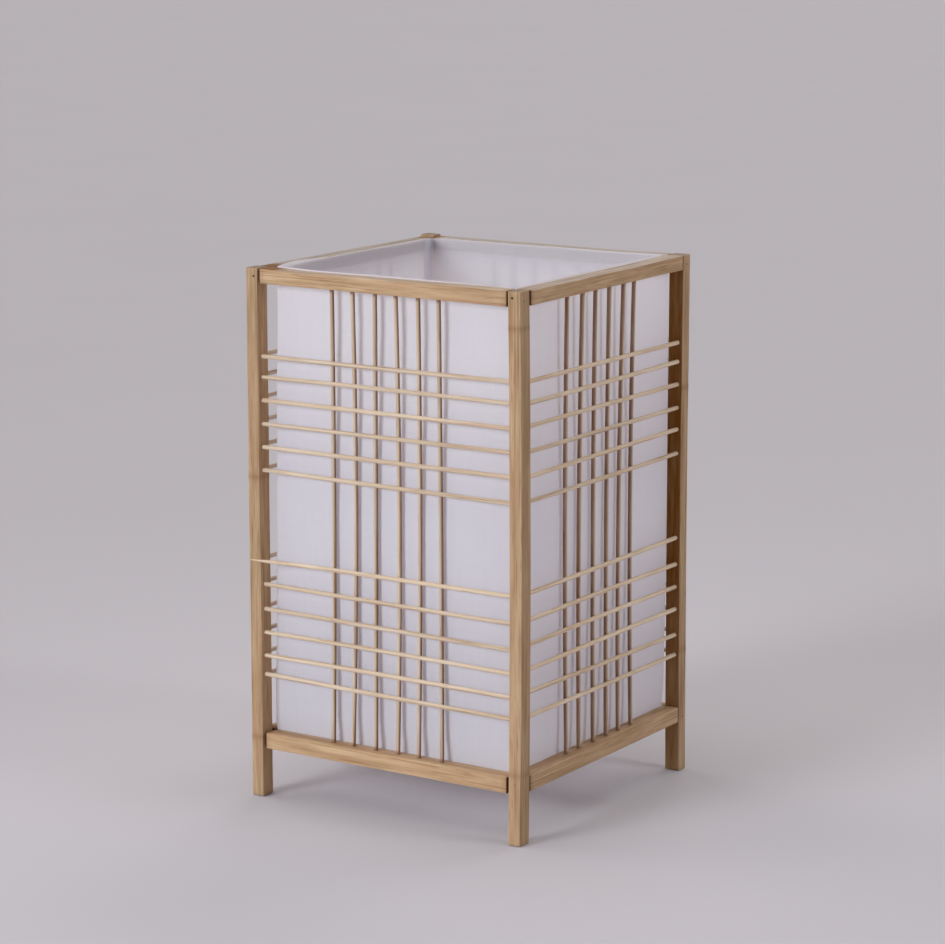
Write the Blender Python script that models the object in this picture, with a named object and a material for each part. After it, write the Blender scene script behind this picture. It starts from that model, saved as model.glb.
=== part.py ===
"""Shoji table lamp: a square bamboo frame, a lattice of thin sticks on each side, a cloth lining and a bulb.

Metres, +Z up. The origin is on the floor, under the middle of the lamp, and the front faces -Y.
"""

import math

import bmesh
import bpy
from mathutils import Matrix, Vector

# Frame
SPAN = 0.208
HEIGHT = 0.350
POST = 0.009
POST_THICK = 0.0108
FOOT_HEIGHT = 0.033
TOP_RAIL_HEIGHT = 0.0097
BOTTOM_RAIL_HEIGHT = 0.0104
RAIL_DEPTH = 0.0118
RAIL_RECESS = 0.0004
SHOULDER_GAP = 0.0012
MITRE_GAP = 0.0004
END_CHAMFER = 0.0012
EDGE = 0.0004

# Joints of the frame
FIT = 0.0003
JOINT_WALL = 0.0004
TENON_WIDTH = 0.0034
TENON_HEIGHT = 0.0064
NAIL = 0.0015
NAIL_LENGTH = 0.020
NAIL_SINK = 0.0002
NAIL_STAGGER = 0.0013
NAIL_FIT = 0.0002

# Lattice
STICK = 0.0029
STICK_SIDES = 6
ROW_DEPTH = 0.0040
ROWS = 6
UPRIGHTS = 6
UPRIGHT_PITCH = 0.0165
UPRIGHT_SEAT = 0.0030
CROSSING = 0.0004
ABOVE_ROWS = 0.0473
BELOW_ROWS = 0.0374
MIDDLE_BAND = 0.0590
LOWER_PITCH_EXTRA = 0.0007
ROW_DRIFT = 0.0005

# Lining
CLOTH = 0.0008
LINING_RADIUS = 0.0012
LINING_LAP = 0.0040
LINING_RISE = 0.0008
CORNER_STEPS = 4

# Bar across the bottom
BAR_WIDTH = 0.028
BAR_THICKNESS = 0.005
BAR_NAIL_LENGTH = 0.009

# Lampholder
ROUND_STEPS = 20
TUBE_RADIUS = 0.00485
TUBE_BORE = 0.0036
TUBE_ABOVE = 0.0080
WASHER_RADIUS = 0.0100
WASHER_THICKNESS = 0.0012
NUT_ACROSS_FLATS = 0.0140
NUT_HEIGHT = 0.0040
BUSH_RADIUS = 0.0072
BUSH_GRIP = 0.0045
BUSH_FLOOR = 0.0016
BASE_RADIUS = 0.0195
BASE_WALL = 0.0022
BASE_HEIGHT = 0.0210
BASE_RIM = 0.0080
BOSS_RADIUS = 0.0090
BOSS_HEIGHT = 0.0050
LEDGE = 0.0015
LEDGE_DEPTH = 0.0050
CORE_RISE = 0.0020
CONTACT_RADIUS = 0.0045
CONTACT_HEIGHT = 0.0040
SHELL_HEIGHT = 0.0300
SHELL_LIP = 0.0020
THREAD_WALL = 0.0006
THREAD_HEIGHT = 0.0220
THREAD_GAP = 0.0005

# Bulb, measured up from its tip
CAP_RADIUS = 0.0131
CAP_HEIGHT = 0.0270
TIP_RADIUS = 0.0048
TIP_HEIGHT = 0.0016
INSULATOR_RADIUS = 0.0105
INSULATOR_HEIGHT = 0.0044
COLLAR_RADIUS = 0.0275
COLLAR_HEIGHT = 0.0300
COLLAR_RIM = 0.0030
GLOBE_RADIUS = 0.0300
GLOBE_WALL = 0.0010
BULB_HEIGHT = 0.1100
BOARD_THICKNESS = 0.0016

# Cutters run this far past the face that they open
OVERCUT = 0.002

SIDES = {"front": 0, "right": 90, "back": 180, "left": 270}
ENDS = {
    "front": ("left", "right"),
    "right": ("front", "back"),
    "back": ("right", "left"),
    "left": ("back", "front"),
}
CORNERS = ("front_left", "front_right", "back_right", "back_left")

# Sizes of a side's two posts, measured along it. The front posts are thicker from front to back, and the back
# posts from left to right.
POSTS_ALONG = {
    "front": (POST, POST),
    "right": (POST_THICK, POST),
    "back": (POST_THICK, POST_THICK),
    "left": (POST, POST_THICK),
}

# Places that several pieces share
half = SPAN / 2
rail_outer = -half + RAIL_RECESS
rail_inner = rail_outer + RAIL_DEPTH
joint_line = -half + POST / 2
rail_spans = {
    "top": (HEIGHT - TOP_RAIL_HEIGHT, HEIGHT),
    "bottom": (FOOT_HEIGHT, FOOT_HEIGHT + BOTTOM_RAIL_HEIGHT),
}
tenon_seat = (POST - TENON_WIDTH) / 2 - 2 * FIT - JOINT_WALL
stick_hole = STICK / 2 + FIT
row_seat = POST - ROW_DEPTH - stick_hole - FIT - JOINT_WALL
upright_depth = ROW_DEPTH + STICK - CROSSING
nail_hole = NAIL / 2 + NAIL_FIT
bar_lap = RAIL_RECESS + RAIL_DEPTH - upright_depth - stick_hole - JOINT_WALL
bar_top = FOOT_HEIGHT + BAR_THICKNESS
tube_hole = TUBE_RADIUS + FIT


def material(name, colour, roughness, metallic=0.0):
    made = bpy.data.materials.new(name)
    made.use_nodes = True
    shader = made.node_tree.nodes["Principled BSDF"]
    shader.inputs["Base Color"].default_value = (*colour, 1.0)
    shader.inputs["Roughness"].default_value = roughness
    shader.inputs["Metallic"].default_value = metallic
    return made


def add_object(name, mesh, look=None, turn=0, parent=None):
    made = bpy.data.objects.new(name, mesh)
    bpy.context.scene.collection.objects.link(made)
    made.rotation_euler.z = math.radians(turn)
    made.parent = parent
    if look:
        mesh.materials.append(look)
    return made


def mesh_of(name, shape):
    mesh = bpy.data.meshes.new(name)
    shape.to_mesh(mesh)
    shape.free()
    return mesh


def add_box(shape, low, high):
    low, high = Vector(low), Vector(high)
    size = high - low
    place = Matrix.Translation((low + high) / 2) @ Matrix.Diagonal((*size, 1.0))
    bmesh.ops.create_cube(shape, size=1.0, matrix=place)


def add_rod(shape, start, end, radius, sides=STICK_SIDES):
    """A closed prism from start to end, along one axis. Lying sticks have a ridge on their outer and inner side."""
    start, end = Vector(start), Vector(end)
    run = end - start
    turn = Matrix.Identity(4)
    if abs(run.z) < run.length / 2:
        turn = Matrix.Rotation(math.radians(90), 4, "Y")
    if abs(run.y) > run.length / 2:
        turn = Matrix.Rotation(math.radians(90), 4, "Z") @ turn
    place = Matrix.Translation((start + end) / 2) @ turn
    bmesh.ops.create_cone(
        shape, cap_ends=True, segments=sides, radius1=radius, radius2=radius, depth=run.length, matrix=place
    )


def boolean(target, shape, operation):
    """Joins a helper to the target, or cuts it away, and keeps the helper out of the render."""
    helper = add_object(f"{target.name}_{operation.lower()}", mesh_of("helper", shape))
    helper.parent = target.parent
    helper.rotation_euler = target.rotation_euler
    helper.hide_render = True
    helper.display_type = "WIRE"
    step = target.modifiers.new(operation.lower(), "BOOLEAN")
    step.operation = operation
    step.solver = "EXACT"
    step.object = helper


def soften(target, width, angle=30):
    step = target.modifiers.new("edges", "BEVEL")
    step.width = width
    step.segments = 1
    step.limit_method = "ANGLE"
    step.angle_limit = math.radians(angle)


def lathe(name, profile, look, parent):
    """Turns a profile of (radius, height) points, given down its outer side, round the parent's Z axis."""
    mesh = bpy.data.meshes.new(name)
    points = [(radius, 0.0, height) for radius, height in profile]
    count = len(points)
    edges = [(i, i + 1) for i in range(count - 1)]
    if profile[0][0] > 0:
        edges.append((count - 1, 0))
    mesh.from_pydata(points, edges, [])
    made = add_object(name, mesh, look, parent=parent)
    turned = made.modifiers.new("turned", "SCREW")
    turned.axis = "Z"
    turned.steps = ROUND_STEPS
    turned.render_steps = ROUND_STEPS
    turned.use_merge_vertices = True
    turned.merge_threshold = 0.00001
    turned.use_smooth_shade = True
    return made


def row_heights():
    """Heights of the rows, from the top. Both bands open out towards the plain band between them."""
    top = rail_spans["top"][0] - ABOVE_ROWS
    bottom = rail_spans["bottom"][1] + BELOW_ROWS
    steps = ROWS - 1
    pitch = (top - bottom - MIDDLE_BAND - steps * LOWER_PITCH_EXTRA) / (2 * steps)
    drift = [(i - (steps - 1) / 2) * ROW_DRIFT for i in range(steps)]
    upper, lower = [top], [bottom]
    for step in drift:
        upper.append(upper[-1] - pitch - step)
        lower.append(lower[-1] + pitch + LOWER_PITCH_EXTRA + step)
    return upper + lower[::-1]


def upright_places():
    return [(i - (UPRIGHTS - 1) / 2) * UPRIGHT_PITCH for i in range(UPRIGHTS)]


def nail_height(level, along_x):
    """Nails that cross in a post pass above and below each other."""
    low, high = rail_spans[level]
    return (low + high) / 2 + (-NAIL_STAGGER if along_x else NAIL_STAGGER)


def post_faces(side):
    """Where the inner faces of the two posts are, along a side."""
    left, right = POSTS_ALONG[side]
    return -half + left, half - right


def make_post(index, corner):
    """A post in the front left corner, turned to its own. Its holes take the rows, the tenons and the nails."""
    sides = list(SIDES)
    face_x = -half + POSTS_ALONG[sides[index]][0]
    face_y = -half + POSTS_ALONG[sides[index - 1]][1]
    shape = bmesh.new()
    add_box(shape, (-half, -half, 0), (face_x, face_y, HEIGHT))
    post = add_object(f"post_{corner}", mesh_of("post", shape), bamboo, 90 * index)
    soften(post, EDGE)

    holes = bmesh.new()
    line = -half + ROW_DEPTH
    deep = row_seat + FIT
    for height in row_heights():
        add_rod(holes, (face_x - deep, line, height), (face_x + OVERCUT, line, height), stick_hole)
        add_rod(holes, (line, face_y - deep, height), (line, face_y + OVERCUT, height), stick_hole)
    deep = tenon_seat + FIT
    near, far = joint_line - TENON_WIDTH / 2 - FIT, joint_line + TENON_WIDTH / 2 + FIT
    for low, high in rail_spans.values():
        middle = (low + high) / 2
        floor, roof = middle - TENON_HEIGHT / 2 - FIT, middle + TENON_HEIGHT / 2 + FIT
        add_box(holes, (face_x - deep, near, floor), (face_x + OVERCUT, far, roof))
        add_box(holes, (near, face_y - deep, floor), (far, face_y + OVERCUT, roof))
    boolean(post, holes, "DIFFERENCE")

    nails = bmesh.new()
    outside = -half - OVERCUT
    turned = index % 2 == 1
    for level in rail_spans:
        height = nail_height(level, not turned)
        inside = face_x - tenon_seat / 2
        add_rod(nails, (outside, joint_line, height), (inside, joint_line, height), nail_hole)
        height = nail_height(level, turned)
        inside = face_y - tenon_seat / 2
        add_rod(nails, (joint_line, outside, height), (joint_line, inside, height), nail_hole)
    boolean(post, nails, "DIFFERENCE")


def make_rail(side, level):
    """A front rail, turned to its own side, with a stub tenon on each end and the sockets of the uprights."""
    low, high = rail_spans[level]
    left_face, right_face = post_faces(side)
    left_end, right_end = left_face + SHOULDER_GAP, right_face - SHOULDER_GAP
    mitre = max(half - POST - SHOULDER_GAP + rail_inner, 0) + MITRE_GAP
    outline = [
        (right_end - END_CHAMFER, rail_outer),
        (right_end, rail_outer + END_CHAMFER),
        (right_end, rail_inner - mitre),
        (right_end - mitre, rail_inner),
        (left_end + mitre, rail_inner),
        (left_end, rail_inner - mitre),
        (left_end, rail_outer + END_CHAMFER),
        (left_end + END_CHAMFER, rail_outer),
    ]
    shape = bmesh.new()
    floor = shape.faces.new([shape.verts.new((x, y, low)) for x, y in outline])
    floor.normal_flip()
    raised = bmesh.ops.extrude_face_region(shape, geom=[floor])["geom"]
    corners = [part for part in raised if isinstance(part, bmesh.types.BMVert)]
    bmesh.ops.translate(shape, verts=corners, vec=(0, 0, high - low))
    bmesh.ops.recalc_face_normals(shape, faces=shape.faces)
    rail = add_object(f"{level}_rail_{side}", mesh_of("rail", shape), bamboo, SIDES[side])
    soften(rail, EDGE, 60)

    middle = (low + high) / 2
    left_tip, right_tip = left_face - tenon_seat, right_face + tenon_seat
    tenons = bmesh.new()
    for start, end in ((left_tip, left_end + 2 * OVERCUT), (right_end - 2 * OVERCUT, right_tip)):
        add_box(
            tenons,
            (start, joint_line - TENON_WIDTH / 2, middle - TENON_HEIGHT / 2),
            (end, joint_line + TENON_WIDTH / 2, middle + TENON_HEIGHT / 2),
        )
    boolean(rail, tenons, "UNION")

    holes = bmesh.new()
    line = -half + upright_depth
    for x in upright_places():
        if level == "top":
            add_rod(holes, (x, line, low - OVERCUT), (x, line, low + UPRIGHT_SEAT + FIT), stick_hole)
        else:
            add_rod(holes, (x, line, high - UPRIGHT_SEAT - FIT), (x, line, high + OVERCUT), stick_hole)
    height = nail_height(level, side in ("front", "back"))
    deep = half - NAIL_SINK - NAIL_LENGTH - FIT
    for start, end in ((left_tip - OVERCUT, -deep), (deep, right_tip + OVERCUT)):
        add_rod(holes, (start, joint_line, height), (end, joint_line, height), nail_hole)
    boolean(rail, holes, "DIFFERENCE")

    if level == "bottom" and side in ("left", "right"):
        notch = bmesh.new()
        reach = BAR_WIDTH / 2 + FIT
        roof = low + BAR_THICKNESS + FIT
        add_box(notch, (-reach, rail_inner - bar_lap - FIT, low - OVERCUT), (reach, rail_inner + OVERCUT, roof))
        boolean(rail, notch, "DIFFERENCE")
        hole = bmesh.new()
        line = rail_inner - bar_lap / 2
        top = low + NAIL_SINK + BAR_NAIL_LENGTH + FIT
        add_rod(hole, (0, line, low), (0, line, top), nail_hole)
        boolean(rail, hole, "DIFFERENCE")


def make_lattice(side):
    """Rows in front and uprights behind, held to each other where they cross."""
    rows = bmesh.new()
    left_face, right_face = post_faces(side)
    left_end, right_end = left_face - row_seat, right_face + row_seat
    line = -half + ROW_DEPTH
    for height in row_heights():
        add_rod(rows, (left_end, line, height), (right_end, line, height), STICK / 2)
    lattice = add_object(f"lattice_{side}", mesh_of("lattice", rows), stick_bamboo, SIDES[side])
    uprights = bmesh.new()
    line = -half + upright_depth
    low = rail_spans["bottom"][1] - UPRIGHT_SEAT
    high = rail_spans["top"][0] + UPRIGHT_SEAT
    for x in upright_places():
        add_rod(uprights, (x, line, low), (x, line, high), STICK / 2)
    boolean(lattice, uprights, "UNION")


def make_nails(side):
    for level in rail_spans:
        height = nail_height(level, side in ("front", "back"))
        for end, place in zip((-1, 1), ENDS[side]):
            shape = bmesh.new()
            head, point = half - NAIL_SINK, half - NAIL_SINK - NAIL_LENGTH
            add_rod(shape, (end * head, joint_line, height), (end * point, joint_line, height), NAIL / 2)
            add_object(f"nail_{level}_{side}_{place}", mesh_of("nail", shape), steel, SIDES[side])


def make_lining():
    """A square tube of cloth with soft corners, glued inside the rails."""
    outside = -rail_inner - FIT
    low = rail_spans["bottom"][1] - LINING_LAP
    high = HEIGHT + LINING_RISE
    shape = bmesh.new()
    rings = []
    for inset, height in ((0, low), (0, high), (CLOTH, high), (CLOTH, low)):
        ring = []
        for corner in range(4):
            for step in range(CORNER_STEPS + 1):
                angle = math.radians(90 * (corner + step / CORNER_STEPS))
                turn = math.radians(90 * corner + 45)
                middle = (outside - LINING_RADIUS) * math.sqrt(2)
                radius = LINING_RADIUS - inset
                x = middle * math.cos(turn) + radius * math.cos(angle)
                y = middle * math.sin(turn) + radius * math.sin(angle)
                ring.append(shape.verts.new((x, y, height)))
        rings.append(ring)
    count = len(rings[0])
    for ring, following in zip(rings, rings[1:] + rings[:1]):
        for i in range(count):
            j = (i + 1) % count
            shape.faces.new((ring[i], ring[j], following[j], following[i]))
    bmesh.ops.recalc_face_normals(shape, faces=shape.faces)
    mesh = mesh_of("lining", shape)
    mesh.shade_smooth()
    mesh.set_sharp_from_angle(angle=math.radians(40))
    add_object("cloth_lining", mesh, cloth)


def make_bar():
    """A flat bar that carries the lampholder, let into the left and right bottom rails and nailed from below."""
    reach = -rail_inner + bar_lap
    shape = bmesh.new()
    add_box(shape, (-reach, -BAR_WIDTH / 2, FOOT_HEIGHT), (reach, BAR_WIDTH / 2, bar_top))
    bar = add_object("holder_bar", mesh_of("bar", shape), bamboo)
    holes = bmesh.new()
    low, high = FOOT_HEIGHT - OVERCUT, bar_top + OVERCUT
    add_rod(holes, (0, 0, low), (0, 0, high), tube_hole, ROUND_STEPS)
    line = -rail_inner + bar_lap / 2
    for end, place in ((-1, "left"), (1, "right")):
        add_rod(holes, (end * line, 0, low), (end * line, 0, high), nail_hole)
        nail = bmesh.new()
        head = FOOT_HEIGHT + NAIL_SINK
        add_rod(nail, (end * line, 0, head), (end * line, 0, head + BAR_NAIL_LENGTH), NAIL / 2)
        add_object(f"bar_nail_{place}", mesh_of("nail", nail), steel)
    boolean(bar, holes, "DIFFERENCE")


def make_holder(axis):
    """The lampholder, measured from the top of the bar. Returns the height of the bulb's tip when screwed in."""
    washer_top = -BAR_THICKNESS - FIT
    washer_low = washer_top - WASHER_THICKNESS
    lathe(
        "lock_washer",
        [(WASHER_RADIUS, washer_top), (WASHER_RADIUS, washer_low), (tube_hole, washer_low), (tube_hole, washer_top)],
        steel,
        axis,
    )
    nut_top = washer_low - FIT
    nut_low = nut_top - NUT_HEIGHT
    shape = bmesh.new()
    add_rod(shape, (0, 0, nut_low), (0, 0, nut_top), NUT_ACROSS_FLATS / math.sqrt(3), 6)
    nut = add_object("lock_nut", mesh_of("nut", shape), steel, parent=axis)
    bore = bmesh.new()
    add_rod(bore, (0, 0, nut_low - OVERCUT), (0, 0, nut_top + OVERCUT), tube_hole, ROUND_STEPS)
    boolean(nut, bore, "DIFFERENCE")

    bush_top = nut_low - FIT
    tube_low = bush_top - BUSH_GRIP
    bush_floor = tube_low - FIT
    bush_low = bush_floor - BUSH_FLOOR
    lathe(
        "threaded_tube",
        [(TUBE_RADIUS, TUBE_ABOVE), (TUBE_RADIUS, tube_low), (TUBE_BORE, tube_low), (TUBE_BORE, TUBE_ABOVE)],
        steel,
        axis,
    )
    lathe(
        "cord_bush",
        [
            (BUSH_RADIUS, bush_top),
            (BUSH_RADIUS, bush_low + BUSH_FLOOR),
            (BUSH_RADIUS - BUSH_FLOOR, bush_low),
            (TUBE_BORE, bush_low),
            (TUBE_BORE, bush_floor),
            (tube_hole, bush_floor),
            (tube_hole, bush_top),
        ],
        black_plastic,
        axis,
    )

    inner = BASE_RADIUS - BASE_WALL
    ledge = BASE_HEIGHT - LEDGE_DEPTH
    lathe(
        "holder_base",
        [
            (BASE_RADIUS, BASE_HEIGHT),
            (BASE_RADIUS, BASE_HEIGHT - BASE_RIM),
            (BOSS_RADIUS, BOSS_HEIGHT),
            (BOSS_RADIUS, FIT),
            (tube_hole, FIT),
            (tube_hole, TUBE_ABOVE + FIT),
            (inner - LEDGE, BASE_HEIGHT - BASE_RIM + BASE_WALL),
            (inner - LEDGE, ledge),
            (inner, ledge),
            (inner, BASE_HEIGHT),
        ],
        white_plastic,
        axis,
    )
    core_top = BASE_HEIGHT + CORE_RISE
    core_radius = inner - FIT
    core_low = ledge + FIT
    lathe(
        "holder_core",
        [(0, core_top), (core_radius, core_top), (core_radius, core_low), (0, core_low)],
        ceramic,
        axis,
    )
    contact_low = core_top + FIT
    contact_top = contact_low + CONTACT_HEIGHT
    lathe(
        "centre_contact",
        [
            (0, contact_top),
            (CONTACT_RADIUS / 3, contact_top),
            (CONTACT_RADIUS * 2 / 3, contact_top - CONTACT_HEIGHT / 4),
            (CONTACT_RADIUS * 2 / 3, contact_low + CONTACT_HEIGHT / 4),
            (CONTACT_RADIUS, contact_low + CONTACT_HEIGHT / 4),
            (CONTACT_RADIUS, contact_low),
            (0, contact_low),
        ],
        brass,
        axis,
    )
    thread_inner = CAP_RADIUS + THREAD_GAP
    thread_outer = thread_inner + THREAD_WALL
    thread_low = core_top + FIT
    thread_top = thread_low + THREAD_HEIGHT
    opening = CONTACT_RADIUS + 3 * FIT
    lathe(
        "screw_shell",
        [
            (thread_outer, thread_top),
            (thread_outer, thread_low),
            (opening, thread_low),
            (opening, thread_low + THREAD_WALL),
            (thread_inner, thread_low + THREAD_WALL),
            (thread_inner, thread_top),
        ],
        brass,
        axis,
    )
    shell_low = BASE_HEIGHT + FIT
    shell_top = shell_low + SHELL_HEIGHT
    lathe(
        "holder_shell",
        [
            (BASE_RADIUS, shell_top - SHELL_LIP / 2),
            (BASE_RADIUS, shell_low),
            (inner, shell_low),
            (inner, shell_top - SHELL_LIP),
            (thread_outer, shell_top - SHELL_LIP),
            (thread_outer, shell_top),
            (BASE_RADIUS - SHELL_LIP / 2, shell_top),
        ],
        white_plastic,
        axis,
    )
    return contact_top + FIT


def make_bulb(axis):
    """The bulb, measured up from its tip. It turns about the lampholder's axis as it is unscrewed."""
    lathe(
        "bulb_tip",
        [(0, TIP_HEIGHT), (TIP_RADIUS, TIP_HEIGHT), (TIP_RADIUS * 0.7, 0), (0, 0)],
        steel,
        axis,
    )
    insulator_low = TIP_HEIGHT + FIT
    insulator_top = insulator_low + INSULATOR_HEIGHT
    lathe(
        "bulb_insulator",
        [
            (0, insulator_top),
            (INSULATOR_RADIUS, insulator_top),
            (TIP_RADIUS, insulator_low),
            (0, insulator_low),
        ],
        black_plastic,
        axis,
    )
    cap_low = insulator_top + FIT
    lathe(
        "bulb_cap",
        [
            (0, CAP_HEIGHT),
            (CAP_RADIUS, CAP_HEIGHT),
            (CAP_RADIUS, cap_low + CAP_RADIUS - INSULATOR_RADIUS),
            (INSULATOR_RADIUS, cap_low),
            (0, cap_low),
        ],
        steel,
        axis,
    )
    collar_low = CAP_HEIGHT + FIT
    collar_top = collar_low + COLLAR_HEIGHT
    lathe(
        "bulb_collar",
        [
            (0, collar_top),
            (COLLAR_RADIUS, collar_top),
            (COLLAR_RADIUS, collar_top - COLLAR_RIM),
            ((COLLAR_RADIUS + CAP_RADIUS) / 2, collar_low + COLLAR_HEIGHT * 0.4),
            (CAP_RADIUS, collar_low + COLLAR_RIM),
            (CAP_RADIUS, collar_low),
            (0, collar_low),
        ],
        white_plastic,
        axis,
    )
    board_low = collar_top + FIT
    board_radius = COLLAR_RADIUS - GLOBE_WALL - 2 * FIT
    lathe(
        "light_board",
        [
            (0, board_low + BOARD_THICKNESS),
            (board_radius, board_low + BOARD_THICKNESS),
            (board_radius, board_low),
            (0, board_low),
        ],
        ceramic,
        axis,
    )
    middle = BULB_HEIGHT - GLOBE_RADIUS
    lowest = -math.acos(COLLAR_RADIUS / GLOBE_RADIUS)
    steps = 7
    angles = [math.pi / 2 + (lowest - math.pi / 2) * i / steps for i in range(steps + 1)]
    outer = [(GLOBE_RADIUS * math.cos(a), middle + GLOBE_RADIUS * math.sin(a)) for a in angles]
    bore = GLOBE_RADIUS - GLOBE_WALL
    inner = [(bore * math.cos(a), middle + bore * math.sin(a)) for a in angles]
    outer[0] = (0, outer[0][1])
    inner[0] = (0, inner[0][1])
    foot = [(COLLAR_RADIUS, board_low), (COLLAR_RADIUS - GLOBE_WALL, board_low)]
    lathe("bulb_globe", outer + foot + inner[::-1], opal_glass, axis)


for old in list(bpy.data.objects):
    bpy.data.objects.remove(old)

bamboo = material("bamboo", (0.56, 0.37, 0.21), 0.55)
stick_bamboo = material("stick_bamboo", (0.52, 0.33, 0.18), 0.55)
cloth = material("cloth", (0.80, 0.79, 0.80), 0.90)
steel = material("steel", (0.45, 0.44, 0.43), 0.40, 1.0)
brass = material("brass", (0.72, 0.56, 0.26), 0.35, 1.0)
ceramic = material("ceramic", (0.82, 0.80, 0.76), 0.35)
white_plastic = material("white_plastic", (0.80, 0.80, 0.78), 0.40)
black_plastic = material("black_plastic", (0.03, 0.03, 0.03), 0.45)
opal_glass = material("opal_glass", (0.90, 0.90, 0.88), 0.25)

for number, corner_name in enumerate(CORNERS):
    make_post(number, corner_name)
for side_name in SIDES:
    make_rail(side_name, "top")
    make_rail(side_name, "bottom")
    make_lattice(side_name)
    make_nails(side_name)
make_lining()
make_bar()

holder_axis = add_object("holder_axis", None)
holder_axis.location.z = bar_top
tip_height = make_holder(holder_axis)
bulb_axis = add_object("bulb_axis", None, parent=holder_axis)
bulb_axis.location.z = tip_height
make_bulb(bulb_axis)
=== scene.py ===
# %% [markdown]
# # A shoji table lamp
#
# A square lamp about 21 cm wide and 35 cm tall. Four split-bamboo posts are its feet and carry a ring of
# rails at the top and another near the bottom. Each side has a lattice of thin round sticks, and a white
# cloth lining stands behind the lattice, open at the top and the bottom. A bar across the bottom holds a
# lampholder and a bulb.
#
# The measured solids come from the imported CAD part. This lesson makes what a person sees on them: strips that
# were split and planed by hand, sticks that lean a little, and cloth that lets light through.

import math
import random

import bmesh
import bpy
from mathutils import Matrix, Vector
from mathutils import noise


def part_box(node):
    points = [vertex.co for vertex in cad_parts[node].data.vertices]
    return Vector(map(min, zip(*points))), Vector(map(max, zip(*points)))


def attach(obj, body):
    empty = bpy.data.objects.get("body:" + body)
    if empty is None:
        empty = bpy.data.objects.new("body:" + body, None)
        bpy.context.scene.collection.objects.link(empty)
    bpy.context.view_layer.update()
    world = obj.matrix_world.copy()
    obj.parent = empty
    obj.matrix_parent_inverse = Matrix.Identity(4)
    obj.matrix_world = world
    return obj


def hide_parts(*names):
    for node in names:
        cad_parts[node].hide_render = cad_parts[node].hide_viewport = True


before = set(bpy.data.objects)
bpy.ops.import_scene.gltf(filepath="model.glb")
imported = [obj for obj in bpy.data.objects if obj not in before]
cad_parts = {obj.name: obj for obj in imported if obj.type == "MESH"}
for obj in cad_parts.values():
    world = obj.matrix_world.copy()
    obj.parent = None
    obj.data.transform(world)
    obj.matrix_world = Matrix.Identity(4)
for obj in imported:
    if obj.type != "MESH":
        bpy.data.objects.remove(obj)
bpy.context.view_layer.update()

# %% [markdown]
# ## Sizes that everything shares
#
# The posts and rails are measured from their CAD nodes, so the visible pieces go exactly where the solids
# are. The sizes could be typed in again, but then the two models could drift apart. A point on a side is
# given as if that side were the front one: x along the side, y in from the outside, z up. A turn about the
# upright axis then puts it on its own side.

# %% Shared sizes
MM = 0.001
X, Y, Z = 0, 1, 2
TURNS = {"front": 0, "right": 90, "back": 180, "left": 270}
CORNERS = ("front_left", "front_right", "back_right", "back_left")
SIDE_POSTS = {
    "front": ("front_left", "front_right"),
    "right": ("front_right", "back_right"),
    "back": ("back_right", "back_left"),
    "left": ("back_left", "front_left"),
}

post_boxes = {name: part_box(f"post_{name}") for name in CORNERS}
HALF = -post_boxes["front_left"][0].x
HEIGHT = post_boxes["front_left"][1].z
SHOULDER_GAP = 1.2 * MM
# A point this near a face counts as on it.
NEAR_FACE = 0.1 * MM
rail_heights = {}
for level in ("top", "bottom"):
    rail_low, rail_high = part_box(f"{level}_rail_front")
    rail_heights[level] = (rail_low.z, rail_high.z)
RAIL_OUTER = rail_low.y
RAIL_INNER = rail_high.y


def to_side(side):
    """The turn from the front side to this one."""
    return Matrix.Rotation(math.radians(TURNS[side]), 4, "Z")


def post_faces(side):
    """Where the inner faces of a side's two posts are, along it."""
    axis = X if side in ("front", "back") else Y
    sizes = []
    for name in SIDE_POSTS[side]:
        low, high = post_boxes[name]
        sizes.append(high[axis] - low[axis])
    return -HALF + sizes[0], HALF - sizes[1]


for side in TURNS:
    print(side, "rail between, mm:", [round(face / MM, 2) for face in post_faces(side)])

# %% [markdown]
# ## Camera
#
# The camera was fitted to the corners of the posts in the photograph: about 2.2 m away, a third of the way
# round from the front to the right, and looking down by 11 degrees. It could be placed by eye, but a fitted
# camera lets the render and the photograph be compared point by point.

# %% Camera
camera_data = bpy.data.cameras.new("camera")
camera_data.lens = 124.885
camera_data.sensor_width = 36.0
camera = bpy.data.objects.new("camera", camera_data)
camera.location = (1.15545, -1.76157, 0.63414)
camera.rotation_euler = [math.radians(turn) for turn in (78.6275, 0.1003, 33.2268)]
bpy.context.scene.collection.objects.link(camera)
bpy.context.scene.camera = camera
bpy.context.scene.view_settings.view_transform = "Standard"
print("camera distance, m:", round(camera.location.length, 3))

# %% [markdown]
# ## Small helpers for meshes
#
# Every visible piece is a mesh that moves with a CAD body and stands for the solids that it hides. `between`
# reads a small table, which is how measured unevenness is kept in this lesson: a few rows are easier to
# correct than a curve drawn by hand.

# %% Helpers for meshes
def add_piece(name, mesh, finish=None):
    """A new object at the origin, with its place in its mesh."""
    piece = bpy.data.objects.new(name, mesh)
    bpy.context.scene.collection.objects.link(piece)
    if finish is not None:
        mesh.materials.append(finish)
    return piece


def settle(piece, body, slot, *nodes):
    """The piece moves with a CAD body and stands for CAD nodes, which are hidden; its slot is not used."""
    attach(piece, body)
    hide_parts(*nodes)
    return piece


def between(table, place):
    """Reads a table of (place, values) rows, with a smooth step from each row to the next."""
    for low, high in zip(table, table[1:]):
        if place <= high[0]:
            t = max((place - low[0]) / (high[0] - low[0]), 0.0)
            eased = t * t * (3 - 2 * t)
            return [a + (b - a) * eased for a, b in zip(low[1:], high[1:])]
    return list(table[-1][1:])


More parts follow.
